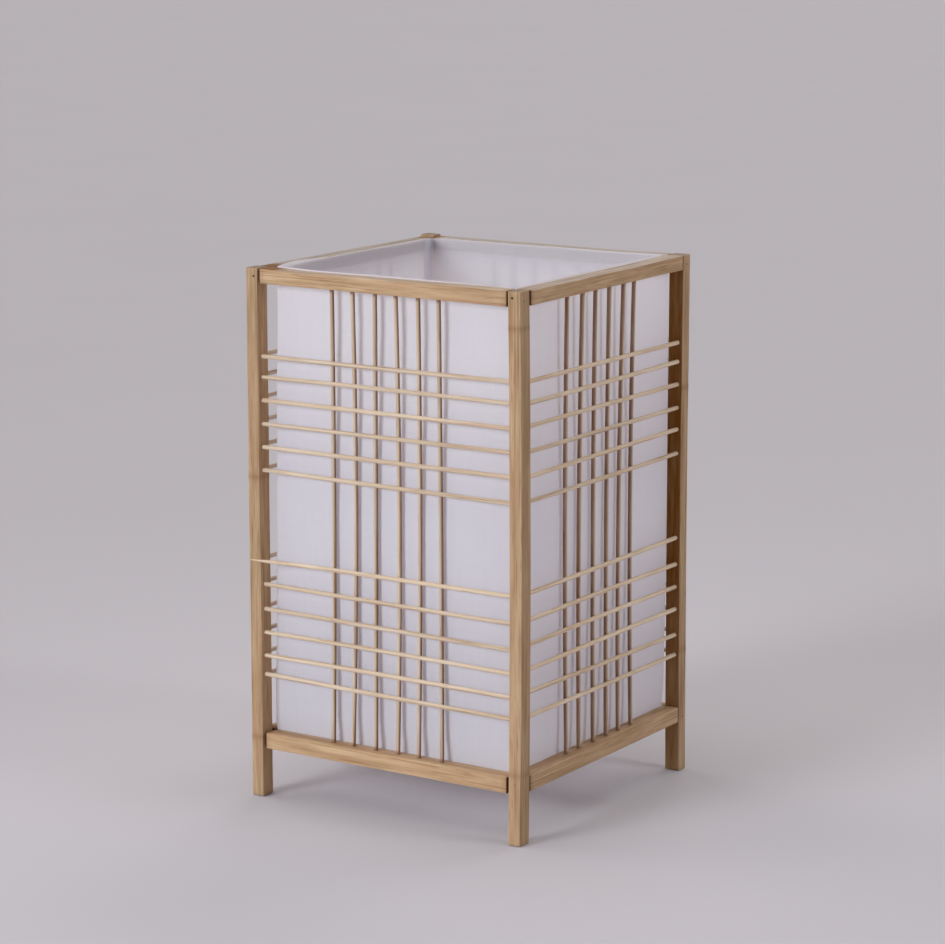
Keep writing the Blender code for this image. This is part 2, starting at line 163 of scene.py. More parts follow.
def mesh_from(name, shape, sharp_angle=35):
    """A bmesh as a mesh, smooth except at real corners."""
    bmesh.ops.recalc_face_normals(shape, faces=shape.faces)
    mesh = bpy.data.meshes.new(name)
    shape.to_mesh(mesh)
    shape.free()
    mesh.shade_smooth()
    mesh.set_sharp_from_angle(angle=math.radians(sharp_angle))
    return mesh


print("a table read halfway:", between([(0, 0.0), (1, 2.0)], 0.5))

# %% [markdown]
# ## Small helpers for node trees
#
# Node trees could be drawn in the editor, but a script can be read, compared and run again. `put` adds one
# node to a shader or geometry tree. An input may be a plain value or the socket that feeds it, so a tree
# reads from top to bottom like a recipe.

# %% Helpers for node trees
def feed(tree, socket, value):
    """Links a socket to the output that feeds it, or sets its plain value."""
    if isinstance(value, bpy.types.NodeSocket):
        tree.links.new(value, socket)
    else:
        socket.default_value = value


def put(tree, kind, inputs=None, **settings):
    """Adds a node with these settings and inputs."""
    made = tree.nodes.new(kind)
    for name, value in settings.items():
        setattr(made, name, value)
    for name, value in (inputs or {}).items():
        feed(tree, made.inputs[name], value)
    return made


def math_node(tree, operation, first, second=0.0):
    """One step of arithmetic."""
    return put(tree, "ShaderNodeMath", {0: first, 1: second}, operation=operation).outputs[0]


def mix(tree, factor, first, second):
    """A colour between two others."""
    made = tree.nodes.new("ShaderNodeMix")
    made.data_type = "RGBA"
    feed(tree, made.inputs[0], factor)
    feed(tree, made.inputs[6], first)
    feed(tree, made.inputs[7], second)
    return made.outputs[2]


def spread(tree, value, low, high):
    """Stretches part of a noise's range to the whole of 0 to 1."""
    made = put(tree, "ShaderNodeMapRange", {"Value": value, "From Min": low, "From Max": high})
    return made.outputs["Result"]


def drawn_noise(tree, vector, scale, detail=2.0):
    """Noise with so many marks to the metre along each axis."""
    stretched = put(tree, "ShaderNodeMapping", {"Vector": vector, "Scale": scale})
    inputs = {"Vector": stretched.outputs["Vector"], "Scale": 1.0, "Detail": detail}
    return put(tree, "ShaderNodeTexNoise", inputs).outputs["Fac"]


def new_finish(name):
    """A material, its node tree and its main shader."""
    finish = bpy.data.materials.new(name)
    finish.use_nodes = True
    return finish, finish.node_tree, finish.node_tree.nodes["Principled BSDF"]


node_helpers = (feed, put, math_node, mix, spread, drawn_noise, new_finish)
print("node helpers:", [helper.__name__ for helper in node_helpers])

# %% [markdown]
# ## Bamboo
#
# Split bamboo is bundles of straight fibres. On a planed face they show as long fine streaks, pale straw to
# brown, and at each joint of the stem they bunch into a darker ring. The streaks run along a strip whichever
# way it lies, so each piece stores its own coordinates, two across the strip and one along it, in an
# attribute called grain. Three more attributes say how light the strip is, with painted shade on some sides;
# where it is darkened, by stains at its rings and sawn ends and by painted shade in slots, on some faces and
# down one side of the uprights; and where it is faded, by dust and a painted sheen on upper faces. A picture
# of bamboo would repeat from strip to strip. Noise that is stretched along the fibres doesn't.

# %% Bamboo finishes
# Marks to the metre across and along the strip, detail, and the part of the noise's range that is used.
FIBRES = {
    "broad": (260.0, 20.0, 3.0, 0.36, 0.64),
    "blush": (110.0, 22.0, 2.0, 0.42, 0.66),
    "fine": (1900.0, 24.0, 2.0, 0.30, 0.70),
    "streak": (800.0, 11.0, 2.0, 0.54, 0.70),
    "pore": (1300.0, 60.0, 1.0, 0.60, 0.72),
    "patchy": (420.0, 40.0, 2.0, 0.35, 0.65),
}


def bamboo_finish(name, pale, deep, red, dark, rough):
    """Long fibres of four tones, with a fine bump along them."""
    finish, tree, surface = new_finish(name)
    grain = put(tree, "ShaderNodeAttribute", attribute_name="grain").outputs["Vector"]
    tone = put(tree, "ShaderNodeAttribute", attribute_name="tone").outputs["Fac"]
    stain_and_shade = put(tree, "ShaderNodeAttribute", attribute_name="stain_and_shade").outputs["Fac"]
    faded = put(tree, "ShaderNodeAttribute", attribute_name="faded").outputs["Fac"]
    marks = {}
    for label, (across, along, detail, low, high) in FIBRES.items():
        marks[label] = spread(tree, drawn_noise(tree, grain, (across, across, along), detail), low, high)
    fine = marks["fine"]
    colour = mix(tree, marks["broad"], pale, deep)
    tints = (("blush", 0.45, red), ("fine", 0.34, deep), ("streak", 0.50, dark), ("pore", 0.38, dark))
    for label, share, tint in tints:
        colour = mix(tree, math_node(tree, "MULTIPLY", marks[label], share), colour, tint)
    uneven = math_node(tree, "ADD", math_node(tree, "MULTIPLY", marks["patchy"], 0.3), 0.7)
    # Darkening towards the dark tone: real stains at rings and sawn ends, and painted shade in slots, on some
    # faces and down one side of the uprights.
    colour = mix(tree, math_node(tree, "MULTIPLY", stain_and_shade, uneven), colour, dark)
    # Fading pales and greys the colour: dust, and a painted sheen on upper faces.
    strong = math_node(tree, "SUBTRACT", 1.0, faded)
    toned = put(tree, "ShaderNodeHueSaturation", {"Saturation": strong, "Value": tone, "Color": colour})
    feed(tree, surface.inputs["Base Color"], toned.outputs["Color"])
    rougher = put(tree, "ShaderNodeMapRange", {"Value": fine, "To Min": rough - 0.08, "To Max": rough + 0.08})
    feed(tree, surface.inputs["Roughness"], rougher.outputs["Result"])
    bump = put(tree, "ShaderNodeBump", {"Height": fine, "Strength": 0.35, "Distance": 0.00025})
    feed(tree, surface.inputs["Normal"], bump.outputs["Normal"])
    surface.inputs["Specular IOR Level"].default_value = 0.16
    return finish


strip_bamboo = bamboo_finish(
    "strip_bamboo",
    pale=(0.640, 0.455, 0.280, 1),
    deep=(0.430, 0.270, 0.148, 1),
    red=(0.570, 0.345, 0.215, 1),
    dark=(0.228, 0.098, 0.032, 1),
    rough=0.52,
)
stick_bamboo = bamboo_finish(
    "stick_bamboo",
    pale=(0.740, 0.620, 0.490, 1),
    deep=(0.620, 0.485, 0.350, 1),
    red=(0.650, 0.485, 0.372, 1),
    dark=(0.285, 0.146, 0.090, 1),
    rough=0.50,
)


def mark_grain(mesh, along, shift, tones=None, stains_and_shades=None, fades=None):
    """Stores where each vertex lies across and along its strip, how light it is, how stained and painted with
    shade, and how faded.
    """
    across = [axis for axis in range(3) if axis != along]
    order = (across[0], across[1], along)
    grain = mesh.attributes.new("grain", "FLOAT_VECTOR", "POINT")
    for vertex, stored in zip(mesh.vertices, grain.data):
        stored.vector = [vertex.co[axis] + shift for axis in order]
    for label, values in (("tone", tones), ("stain_and_shade", stains_and_shades), ("faded", fades)):
        if values is not None:
            stored = mesh.attributes.new(label, "FLOAT", "POINT")
            stored.data.foreach_set("value", values)


print("bamboo finishes:", strip_bamboo.name, stick_bamboo.name)

# %% [markdown]
# ## Strips
#
# Posts, rails and the bar are strips of split bamboo. A plain box would have their size, but edges that are
# too sharp and sides that are too straight. So each strip starts as a prism with its edges rounded, as
# sandpaper leaves them. It is then cut across every few millimetres, so that it can wander by a fraction of a
# millimetre along its length, as hand-planed bamboo does, and swell a little at each ring of the stem.

# %% Helpers for strips
RING_REACH = 1.9 * MM

# The wander of a strip: its waves to the metre, and where its sideways directions lie in the noise.
WANDER_WAVES = 14
WANDER_STEP = 3.1
WANDER_LAYER = 0.7


def prism(outline, low, high):
    """An outline in plan, raised from low to high."""
    shape = bmesh.new()
    floor = shape.faces.new([shape.verts.new((x, y, low)) for x, y in outline])
    raised = bmesh.ops.extrude_face_region(shape, geom=[floor])["geom"]
    corners = [part for part in raised if isinstance(part, bmesh.types.BMVert)]
    bmesh.ops.translate(shape, verts=corners, vec=(0, 0, high - low))
    bmesh.ops.recalc_face_normals(shape, faces=shape.faces)
    return shape


def is_upright(edge):
    """True for an edge that stands along Z."""
    first, second = (vertex.co for vertex in edge.verts)
    return abs((second - first).normalized().z) > 0.99


def round_edges(shape, edges, radius, steps=3):
    """Rounds these edges off."""
    bmesh.ops.bevel(
        shape, geom=edges, offset=radius, segments=steps, profile=0.5, affect="EDGES", clamp_overlap=True
    )


def cut_across(shape, axis, gap):
    """Cuts a strip across every so often, so that it has points to bend at."""
    places = [vertex.co[axis] for vertex in shape.verts]
    count = int((max(places) - min(places)) / gap)
    facing = Vector((0, 0, 0))
    facing[axis] = 1.0
    for number in range(1, count):
        point = facing * (min(places) + number * (max(places) - min(places)) / count)
        everything = shape.verts[:] + shape.edges[:] + shape.faces[:]
        bmesh.ops.bisect_plane(shape, geom=everything, plane_co=point, plane_no=facing)


def wander(shape, axis, seed, amount):
    """Moves each slice of a strip sideways by a smooth noise, as a hand-made strip wanders."""
    for vertex in shape.verts:
        along = vertex.co[axis]
        for other in range(3):
            if other != axis:
                spot = Vector((along * WANDER_WAVES, seed + WANDER_STEP * other, WANDER_LAYER))
                vertex.co[other] += amount * noise.noise(spot)


def ring_strength(height, rings):
    """How much of a stem ring a height is in, from 0 to 1."""
    return sum(math.exp(-(((height - ring) / RING_REACH) ** 2)) for ring in rings)


print("ring strength 1 mm from a ring:", round(ring_strength(MM, [0.0]), 3))

# %% [markdown]
# ## Posts
#
# The four posts are also the feet. None is quite straight: each strays from its line by up to a millimetre,
# which is read from the photograph in three places where the post shows. Some faces carry painted shade,
# darker and browner than the rest of their post, and the inner face of the front left post is painted
# lighter. Bending the CAD solids would leave their edges sharp, so the posts are made again at the same
# places.

# %% Posts
POST_EDGE = 0.6 * MM
FOOT_EDGE = 1.1 * MM
HEAD_EDGE = 0.5 * MM
POST_SLICE = 2.5 * MM
POST_WANDER = 0.18 * MM
POST_SEED_STEP = 11.3
POST_GRAIN_STEP = 0.31
RING_SWELL = 0.018
RING_STAIN = 0.45
SAWN_STAIN = 0.7
SAWN_DEPTH = 0.1 * MM
FACE_DEPTH = 0.05 * MM
# Dust and a painted sheen pale and grey the sawn tops of the posts.
POST_TOP_DUST_AND_SHEEN = 0.4

# Heights of the stem rings on each post, in millimetres.
RINGS = {"front_left": (40, 214), "front_right": (46, 327), "back_right": (84, 262), "back_left": (120, 301)}

# How far a post strays to the right at its foot, middle and top, in millimetres.
STRAY = {
    "front_left": (-0.9, -0.5, 0.1),
    "front_right": (-0.3, 0.8, -0.6),
    "back_right": (0.2, -0.5, -0.2),
    "back_left": (0.3, -0.4, 0.2),
}
TONES = {"front_left": 0.89, "front_right": 0.95, "back_right": 0.83, "back_left": 0.88}

# A face with painted shading, unlike the rest of its post: its axis, which way it looks, and how light,
# darkened by painted shade and faded it is. A fade below 0 makes the colour stronger.
PLAIN_FACE = (X, 1, 1.0, 0.0, 0.0)
PAINTED_FACE_SHADING = {
    "front_left": (X, 1, 1.2, 0.10, -0.07),
    "front_right": (X, 1, 0.86, 0.12, 0.0),
    "back_right": (Y, -1, 0.97, 1.0, -0.17),
}

# How much of a face's painted shade there is at a height in millimetres: less near the foot.
FACE_SHADING_FADE = [(0, 0.30), (40, 0.38), (60, 0.58), (95, 0.80), (130, 1.0)]


def through_three(low, middle, high, t):
    """A smooth curve through three values, at t from 0 to 1."""
    return low * (1 - t) * (1 - 2 * t) + middle * 4 * t * (1 - t) + high * t * (2 * t - 1)


def post_stray(name, height):
    """How far a post has strayed from its straight line at a height."""
    return Vector((through_three(*STRAY[name], height / HEIGHT) * MM, 0, 0))


for number, name in enumerate(CORNERS):
    low, high = post_boxes[name]
    centre = (low + high) / 2
    wide, deep = (high.x - low.x) / 2, (high.y - low.y) / 2
    shape = prism([(-wide, -deep), (wide, -deep), (wide, deep), (-wide, deep)], 0, HEIGHT)
    round_edges(shape, [edge for edge in shape.edges if is_upright(edge)], POST_EDGE)
    foot = [edge for edge in shape.edges if all(vertex.co.z < MM for vertex in edge.verts)]
    round_edges(shape, foot, FOOT_EDGE, 2)
    head = [edge for edge in shape.edges if all(vertex.co.z > HEIGHT - MM for vertex in edge.verts)]
    round_edges(shape, head, HEAD_EDGE, 2)
    cut_across(shape, Z, POST_SLICE)
    rings = [height * MM for height in RINGS[name]]
    plain = [vertex.co.copy() for vertex in shape.verts]
    for vertex in shape.verts:
        swell = 1 + RING_SWELL * ring_strength(vertex.co.z, rings)
        vertex.co.x *= swell
        vertex.co.y *= swell
    wander(shape, Z, POST_SEED_STEP * number + 1, POST_WANDER)
    for vertex in shape.verts:
        vertex.co += post_stray(name, vertex.co.z)
    bmesh.ops.translate(shape, verts=shape.verts, vec=(centre.x, centre.y, 0))
    mesh = mesh_from(f"bamboo_post_{name}", shape)
    tones, stains_and_shades, fades = [], [], []
    axis, way, lightness, painted_shade, face_fade = PAINTED_FACE_SHADING.get(name, PLAIN_FACE)
    for place in plain:
        # Painted shading on one face of a post: darker on the right face of the front right post and the front
        # face of the back right post, which lie in shade, and lighter on the inner face of the front left post.
        painted_shading = place[axis] * way > (wide, deep)[axis] - FACE_DEPTH
        sawn = place.z > HEIGHT - SAWN_DEPTH
        tones.append(TONES[name] * (lightness if painted_shading else 1.0))
        ring = RING_STAIN * min(ring_strength(place.z, rings), 1.0)
        strength = between(FACE_SHADING_FADE, place.z / MM)[0]
        stains_and_shades.append(max(ring, painted_shade * strength if painted_shading else 0.0, SAWN_STAIN if sawn else 0.0))
        fades.append(POST_TOP_DUST_AND_SHEEN if sawn else face_fade if painted_shading else 0.0)
    mark_grain(mesh, Z, POST_GRAIN_STEP * number, tones, stains_and_shades, fades)
    piece = add_piece(mesh.name, mesh, strip_bamboo)
    settle(piece, "lamp", "bamboo", f"post_{name}")
    print(piece.name, len(mesh.polygons), "faces")

# %% [markdown]
# ## Rails
#
# A rail is a little deeper than the posts, so it stands in behind them towards the lining, and its inner
# corners are cut at 45 degrees to clear the next rail. Its ends are rounded and stop short of the posts,
# which leaves the dark slots that the photograph shows beside the nearest post. A stub tenon crosses each
# slot, and painted shade darkens the sawn ends and tenons in the slots, as it does the tops of some rails
# near the posts. Dust and a painted sheen pale the tops of the top rails. The top edges were planed by eye
# and lie up to 1.4 mm below the tops of the posts. One rail could be copied to the other places, but then
# all eight would have the same grain and the same wander.

# %% Sizes and marks of the rails
RAIL_END_EDGE = 0.9 * MM
RAIL_EDGE = 0.5 * MM
RAIL_SLICE = 5 * MM
RAIL_WANDER = 0.16 * MM
RAIL_SEEDS = {"top": 50, "bottom": 80}
RAIL_SEED_STEP = 7.7
RAIL_GRAIN = {"top": 0.2, "bottom": 2.9}
RAIL_GRAIN_STEP = 0.57
SHARP_ANGLE = math.radians(50)
# Painted shade: the sawn ends and tenons of the rails are darkened, so that the slots beside the posts look
# dark.
SLOT_SHADE_END = 0.45 * MM
SLOT_SHADE_TONE = 0.35
FACES_UP = 0.7
# Painted shade on the lower outer edge of the right bottom rail: how dark it is, and how far down and out a
# normal must look to be on that edge.
ARRIS_SHADE = 0.55
ARRIS_NORMAL = -0.2

# How far in from its ends a rail is darkened by painted shade, and over how far the painted shade of a top
# fades, in millimetres.
END_SHADE = 1.2
TOP_SHADE_BLEND = 5

# How far the top edge of each top rail is below the tops of the posts, in millimetres, from its left end to
# its right.
TOP_DROP = {
    "front": [(-1, 0.0), (-0.6, 0.9), (0, 0.5), (0.6, 0.1), (1, 0.0)],
    "right": [(-1, 0.3), (-0.5, 0.6), (0.5, 0.6), (1, 0.2)],
    "back": [(-1, 0.5), (-0.5, 1.1), (1, 1.3)],
    "left": [(-1, 1.4), (0, 1.0), (1, 0.6)],
}

# How far in from its left or right end the top of a rail is darkened by painted shadow, where it lies in shade
# beside a post, in millimetres.
SHADED_TOPS = {
    ("top", "left", "right"): 18, ("top", "left", "left"): 7, ("top", "front", "left"): 16,
    ("top", "back", "right"): 6, ("bottom", "left", "right"): 9, ("bottom", "front", "left"): 4,
}

# How much wider the slots are at a side's left and right ends, in millimetres. The right rails all but touch
# the back right post.
SLOT_CHANGE = {"right": (0.0, -1.0)}

# How much dust and a painted sheen have paled and greyed the upper faces of the top rails.
DUST_AND_SHEEN = {"front": 0.30, "right": 0.42, "back": 0.60, "left": 0.55}

# How light the rails are, with painted shade that darkens the sides away from the front, most of all the left,
# and how far the right bottom rail rises towards the back.
RAIL_TONES_WITH_SHADE = {"front": 1.02, "right": 0.94, "back": 0.90, "left": 0.84}
BOTTOM_FRONT_TONE = 1.08
BACK_LIFT = 0.8 * MM
MITRE = 2.4 * MM
TENON_LINE = 4.5 * MM
TENON_WIDE = 3.4 * MM
TENON_TALL = 6.4 * MM
print("slot beside a rail, mm:", round(SHOULDER_GAP / MM, 2))

# %% [markdown]
# Each rail is made as if it were on the front side, turned to its own side at the end, and marked with its
# tones. Its tenons are two plain boxes, because no more than a dark glimpse of them shows in the slots.

# %% Rails
def add_box(shape, low, high):
    """Adds a plain box to a bmesh."""
    xs, ys, zs = zip(low, high)
    corners = [(x, y, z) for x in xs for y in ys for z in zs]
    points = [shape.verts.new(corner) for corner in corners]
    for face in ((0, 1, 3, 2), (4, 6, 7, 5), (0, 4, 5, 1), (2, 3, 7, 6), (0, 2, 6, 4), (1, 5, 7, 3)):
        shape.faces.new([points[i] for i in face])


for level, (low, high) in rail_heights.items():
    for number, side in enumerate(TURNS):
        left_face, right_face = post_faces(side)
        left_slot, right_slot = SLOT_CHANGE.get(side, (0.0, 0.0))
        left_end = left_face + SHOULDER_GAP + left_slot * MM
        right_end = right_face - SHOULDER_GAP - right_slot * MM
        right_mitre = MITRE + max(-right_slot, 0.0) * MM
        outline = [
            (right_end, RAIL_OUTER),
            (right_end, RAIL_INNER - right_mitre),
            (right_end - right_mitre, RAIL_INNER),
            (left_end + MITRE, RAIL_INNER),
            (left_end, RAIL_INNER - MITRE),
            (left_end, RAIL_OUTER),
        ]
        shape = prism(outline, low, high)
        uprights = [edge for edge in shape.edges if is_upright(edge)]
        outer = [edge for edge in uprights if edge.verts[0].co.y < RAIL_OUTER + NEAR_FACE]
        round_edges(shape, outer, RAIL_END_EDGE)
        sharp = [edge for edge in shape.edges if edge.calc_face_angle(0) > SHARP_ANGLE]
        round_edges(shape, sharp, RAIL_EDGE)
        cut_across(shape, X, RAIL_SLICE)
        if level == "top":
            for vertex in shape.verts:
                drop = between(TOP_DROP[side], vertex.co.x / right_face)[0] * MM
                vertex.co.z -= drop * (vertex.co.z - low) / (high - low)
        elif side == "right":
            for vertex in shape.verts:
                vertex.co.z += BACK_LIFT * (vertex.co.x - left_end) / (right_end - left_end)
        wander(shape, X, RAIL_SEED_STEP * number + RAIL_SEEDS[level], RAIL_WANDER)
        line = -HALF + TENON_LINE
        middle = (low + high) / 2
        for start, end in ((left_face - MM, left_end + MM), (right_end - MM, right_face + MM)):
            add_box(
                shape,
                (start, line - TENON_WIDE / 2, middle - TENON_TALL / 2),
                (end, line + TENON_WIDE / 2, middle + TENON_TALL / 2),
            )
        mesh = mesh_from(f"bamboo_{level}_rail_{side}", shape)
        tones, painted_shades, fades = [], [], []
        # Painted shade by side, in the rail's tone.
        rail_tone = BOTTOM_FRONT_TONE if (level, side) == ("bottom", "front") else RAIL_TONES_WITH_SHADE[side]
        for vertex in mesh.vertices:
            inside = vertex.co.x - left_end
            if right_slot >= 0:
                inside = min(inside, right_end - vertex.co.x)
            # Painted shade on the sawn ends and tenons, in the slots.
            tones.append(rail_tone * (SLOT_SHADE_TONE if inside < SLOT_SHADE_END else 1.0))
            painted_shade = END_SHADE - inside / MM
            # Painted shadow on the tops of some rails near the posts.
            if vertex.normal.z > FACES_UP:
                end = "right" if vertex.co.x > 0 else "left"
                reach = SHADED_TOPS.get((level, side, end), 0)
                painted_shade = max(painted_shade, (reach - inside / MM) / TOP_SHADE_BLEND)
            # Painted shade under the lower outer edge of the right bottom rail.
            arris = vertex.normal.z < ARRIS_NORMAL and vertex.normal.y < ARRIS_NORMAL
            if level == "bottom" and side == "right" and arris:
                painted_shade = max(painted_shade, ARRIS_SHADE)
            painted_shade = min(max(painted_shade, 0.0), 1.0)
            painted_shades.append(painted_shade)
            # Dust and a painted sheen pale and grey the upper faces of the top rails.
            dust_and_sheen_face = level == "top" and vertex.normal.z > FACES_UP
            fades.append(DUST_AND_SHEEN[side] * (1 - painted_shade) if dust_and_sheen_face else 0.0)
        grain_start = RAIL_GRAIN_STEP * number + RAIL_GRAIN[level]
        mark_grain(mesh, X, grain_start, tones, painted_shades, fades)
        mesh.transform(to_side(side))
        piece = add_piece(mesh.name, mesh, strip_bamboo)
        settle(piece, "lamp", "bamboo", f"{level}_rail_{side}")
print("rails:", len(rail_heights) * len(TURNS))

# %% [markdown]
# ## Sticks
#
# The sticks are skewer stock, 2.9 mm thick. The uprights are let into the rails, and the rows lie in front of
# them with their ends in the posts. They were set by eye, so on the two sides that the photograph shows each
# one has its own lean and bow, in millimetres. The other two sides vary by as much, from a fixed seed. The
# rows are pale, and the uprights are browner, with painted shade down the side of each that is away from the
# light and at its ends in the rails.
#
# Each stick could be a cylinder of its own, but those are straight. Here a guide line is made for each stick,
# and a Geometry Nodes tree sweeps a ring along all the lines of a side at once. Every point of a guide
# carries its thickness and its tone.

# %% Where the sticks are
STICK = 2.9 * MM
ROW_DEPTH = 4.0 * MM
UPRIGHT_DEPTH = 6.5 * MM
ROW_SEAT = 2.5 * MM
UPRIGHT_LOW = rail_heights["bottom"][1] - 3 * MM
UPRIGHT_TOP = rail_heights["top"][0] + 3 * MM
UPRIGHT_STEPS = 15
ROW_STEPS = 16

# How far in from an end of an upright its guide has points, in millimetres. The painted shade at its end,
# where it enters the rail, fades between the last two.
DARK_ENDS = (0.0, 3.0, 4.6, 6.2)

# Even places of the uprights along a side and of the rows up it, in millimetres.
UPRIGHTS = [-41.25, -24.75, -8.25, 8.25, 24.75, 41.25]
ROWS = [293.0, 279.0, 264.6, 249.6, 234.1, 218.2, 159.2, 142.5, 126.3, 110.6, 95.5, 80.8]

# How light the uprights are on each side, with painted shade that darkens them away from the front, and how
# much the sticks vary: in millimetres, or as shares.
UPRIGHT_TONES_WITH_SHADE = {"front": 0.97, "right": 0.89, "back": 0.84, "left": 0.84}
UPRIGHT_LEAN = 1.4
ROW_LEAN = 0.7
ROW_BOW = 0.5
UPRIGHT_TONE_RANGE = (0.92, 1.07)
UPRIGHT_SIZE_RANGE = (0.97, 1.04)
ROW_TONE_RANGE = (1.00, 1.13)
ROW_SIZE_RANGE = (0.96, 1.04)

# Place of each upright along its side: near the bottom rail, at half height and near the top rail.
UPRIGHT_MARKS = {
    "front": [
        (-43.3, -41.2, -41.3), (-27.8, -24.0, -25.5), (-10.0, -8.7, -8.2),
        (7.1, 9.5, 7.4), (23.2, 25.2, 24.3), (41.1, 40.9, 39.7),
    ],
    "right": [
        (-38.9, -41.6, -39.9), (-23.5, -24.8, -21.5), (-6.0, -7.6, -5.9),
        (10.2, 9.0, 11.2), (25.6, 24.4, 28.8), (41.8, 38.9, 42.0),
    ],
}

# Height of each row at two places along its side.
ROW_MARKS = {
    "front": (
        (-74, (292.9, 279.2, 264.2, 248.8, 233.6, 218.4, 158.7, 142.7, 126.2, 110.4, 95.0, 82.2)),
        (72, (293.6, 279.9, 264.5, 249.5, 234.1, 217.9, 159.0, 141.9, 125.1, 109.7, 94.4, 80.8)),
    ),
    "right": (
        (-76, (292.8, 279.3, 264.8, 248.9, 233.2, 217.7, 159.6, 142.3, 126.4, 110.6, 96.1, 80.7)),
        (67, (292.2, 279.4, 264.3, 248.6, 233.9, 217.9, 160.4, 142.4, 126.9, 111.5, 94.4, 80.4)),
    ),
}

# One row on the front has split at its left end: it bends forward and lies in a nick across the face of the
# post. Each point is its place along the side, its depth, its height and its radius, in millimetres.
SPLIT_ROW = 6
SPLIT_FROM = -60
SPLIT_END = [
    (-103.3, -0.05, 158.8, 0.40), (-99.0, 0.10, 158.8, 0.62), (-95.0, 0.45, 158.8, 0.85),
    (-90.0, 1.20, 158.8, 1.15), (-82.0, 2.30, 158.75, 1.38), (-70.0, 3.40, 158.7, 1.45),
]
print("sticks on a side:", len(UPRIGHTS), "uprights and", len(ROWS), "rows")

# %% [markdown]
# A guide is a list of points from one end of a stick to the other. On the two sides that the photograph
# shows, an upright follows a smooth curve through its three marks, and a row a straight line through its two,
# with a slight bow. The draws come from one generator, always in the same order, so that every run gives the
# same lamp.

# %% Guide lines
def upright_guides(side, draw):
    """Lines up a side, as (point, radius, tone) lists."""
    places = [place * MM for place in DARK_ENDS]
    between_ends = UPRIGHT_TOP - UPRIGHT_LOW - 2 * places[-1]
    places += [places[-1] + between_ends * step / UPRIGHT_STEPS for step in range(1, UPRIGHT_STEPS)]
    places += [UPRIGHT_TOP - UPRIGHT_LOW - place * MM for place in reversed(DARK_ENDS)]
    guides = []
    for number, place in enumerate(UPRIGHTS):
        if side in UPRIGHT_MARKS:
            marks = UPRIGHT_MARKS[side][number]
        else:
            marks = [place + draw.uniform(-UPRIGHT_LEAN, UPRIGHT_LEAN) for mark in range(3)]
        # Painted shade by side, in the upright's tone.
        tone = UPRIGHT_TONES_WITH_SHADE[side] * draw.uniform(*UPRIGHT_TONE_RANGE)
        radius = STICK / 2 * draw.uniform(*UPRIGHT_SIZE_RANGE)
        points = []
        for height in places:
            x = through_three(*marks, height / places[-1]) * MM
            points.append(((x, -HALF + UPRIGHT_DEPTH, UPRIGHT_LOW + height), radius, tone))
        guides.append(points)
    return guides


def row_guides(side, draw):
    """Lines along a side, as (point, radius, tone) lists."""
    left_face, right_face = post_faces(side)
    left_end, right_end = (left_face - ROW_SEAT) / MM, (right_face + ROW_SEAT) / MM
    guides = []
    for number, height in enumerate(ROWS):
        if side in ROW_MARKS:
            (first_x, first), (second_x, second) = ROW_MARKS[side]
            slope = (second[number] - first[number]) / (second_x - first_x)
            ends = [first[number] + slope * (x - first_x) for x in (left_end, right_end)]
        else:
            ends = [height + draw.uniform(-ROW_LEAN, ROW_LEAN) for end in range(2)]
        tone = draw.uniform(*ROW_TONE_RANGE)
        radius = STICK / 2 * draw.uniform(*ROW_SIZE_RANGE)
        bow = draw.uniform(-ROW_BOW, ROW_BOW)
        points = []
        for step in range(ROW_STEPS + 1):
            t = step / ROW_STEPS
            x = left_end + t * (right_end - left_end)
            z = ends[0] + t * (ends[1] - ends[0]) + bow * 4 * t * (1 - t)
            points.append(((x * MM, -HALF + ROW_DEPTH, z * MM), radius, tone))
        guides.append(points)
    return guides


def split_end(points):
    """The row with its left end replaced by the split one."""
    tone = points[0][2]
    kept = [point for point in points if point[0][0] > SPLIT_FROM * MM]
    bent = []
    for x, depth, z, radius in SPLIT_END:
        bent.append(((x * MM, -HALF + depth * MM, z * MM), radius * MM, tone))
    return bent + kept


def guide_mesh(name, guides):
    """Open lines whose points carry a radius and a tone."""
    points, edges = [], []
    for guide in guides:
        edges += [(len(points) + i, len(points) + i + 1) for i in range(len(guide) - 1)]
        points += guide
    mesh = bpy.data.meshes.new(name)
    mesh.from_pydata([point[0] for point in points], edges, [])
    for number, label in ((1, "thickness"), (2, "tone")):
        stored = mesh.attributes.new(label, "FLOAT", "POINT")
        stored.data.foreach_set("value", [point[number] for point in points])
    return mesh


print("guide helpers:", [helper.__name__ for helper in (upright_guides, row_guides, split_end, guide_mesh)])

# %% [markdown]
# A Geometry Nodes tree is a recipe that Blender runs on a mesh. These three helpers start a tree with named
# inputs, end it, and run it on a piece. The result is kept as a plain mesh, because the exported model has no
# modifiers.

# %% Helpers for Geometry Nodes
def new_tree(name, inputs):
    """An empty Geometry Nodes tree with these inputs and one geometry output."""
    tree = bpy.data.node_groups.new(name, "GeometryNodeTree")
    sockets = {}
    for label, kind in inputs.items():
        sockets[label] = tree.interface.new_socket(label, in_out="INPUT", socket_type=kind).identifier
    tree.interface.new_socket("Made", in_out="OUTPUT", socket_type="NodeSocketGeometry")
    return tree, sockets, tree.nodes.new("NodeGroupInput")


def close_tree(tree, geometry, finish):
    """Ends a tree: real mesh in place of instances, with its material."""
    real = put(tree, "GeometryNodeRealizeInstances", {"Geometry": geometry})
    inputs = {"Geometry": real.outputs["Geometry"], "Material": finish}
    coloured = put(tree, "GeometryNodeSetMaterial", inputs)
    last = tree.nodes.new("NodeGroupOutput")
    tree.links.new(coloured.outputs["Geometry"], last.inputs["Made"])


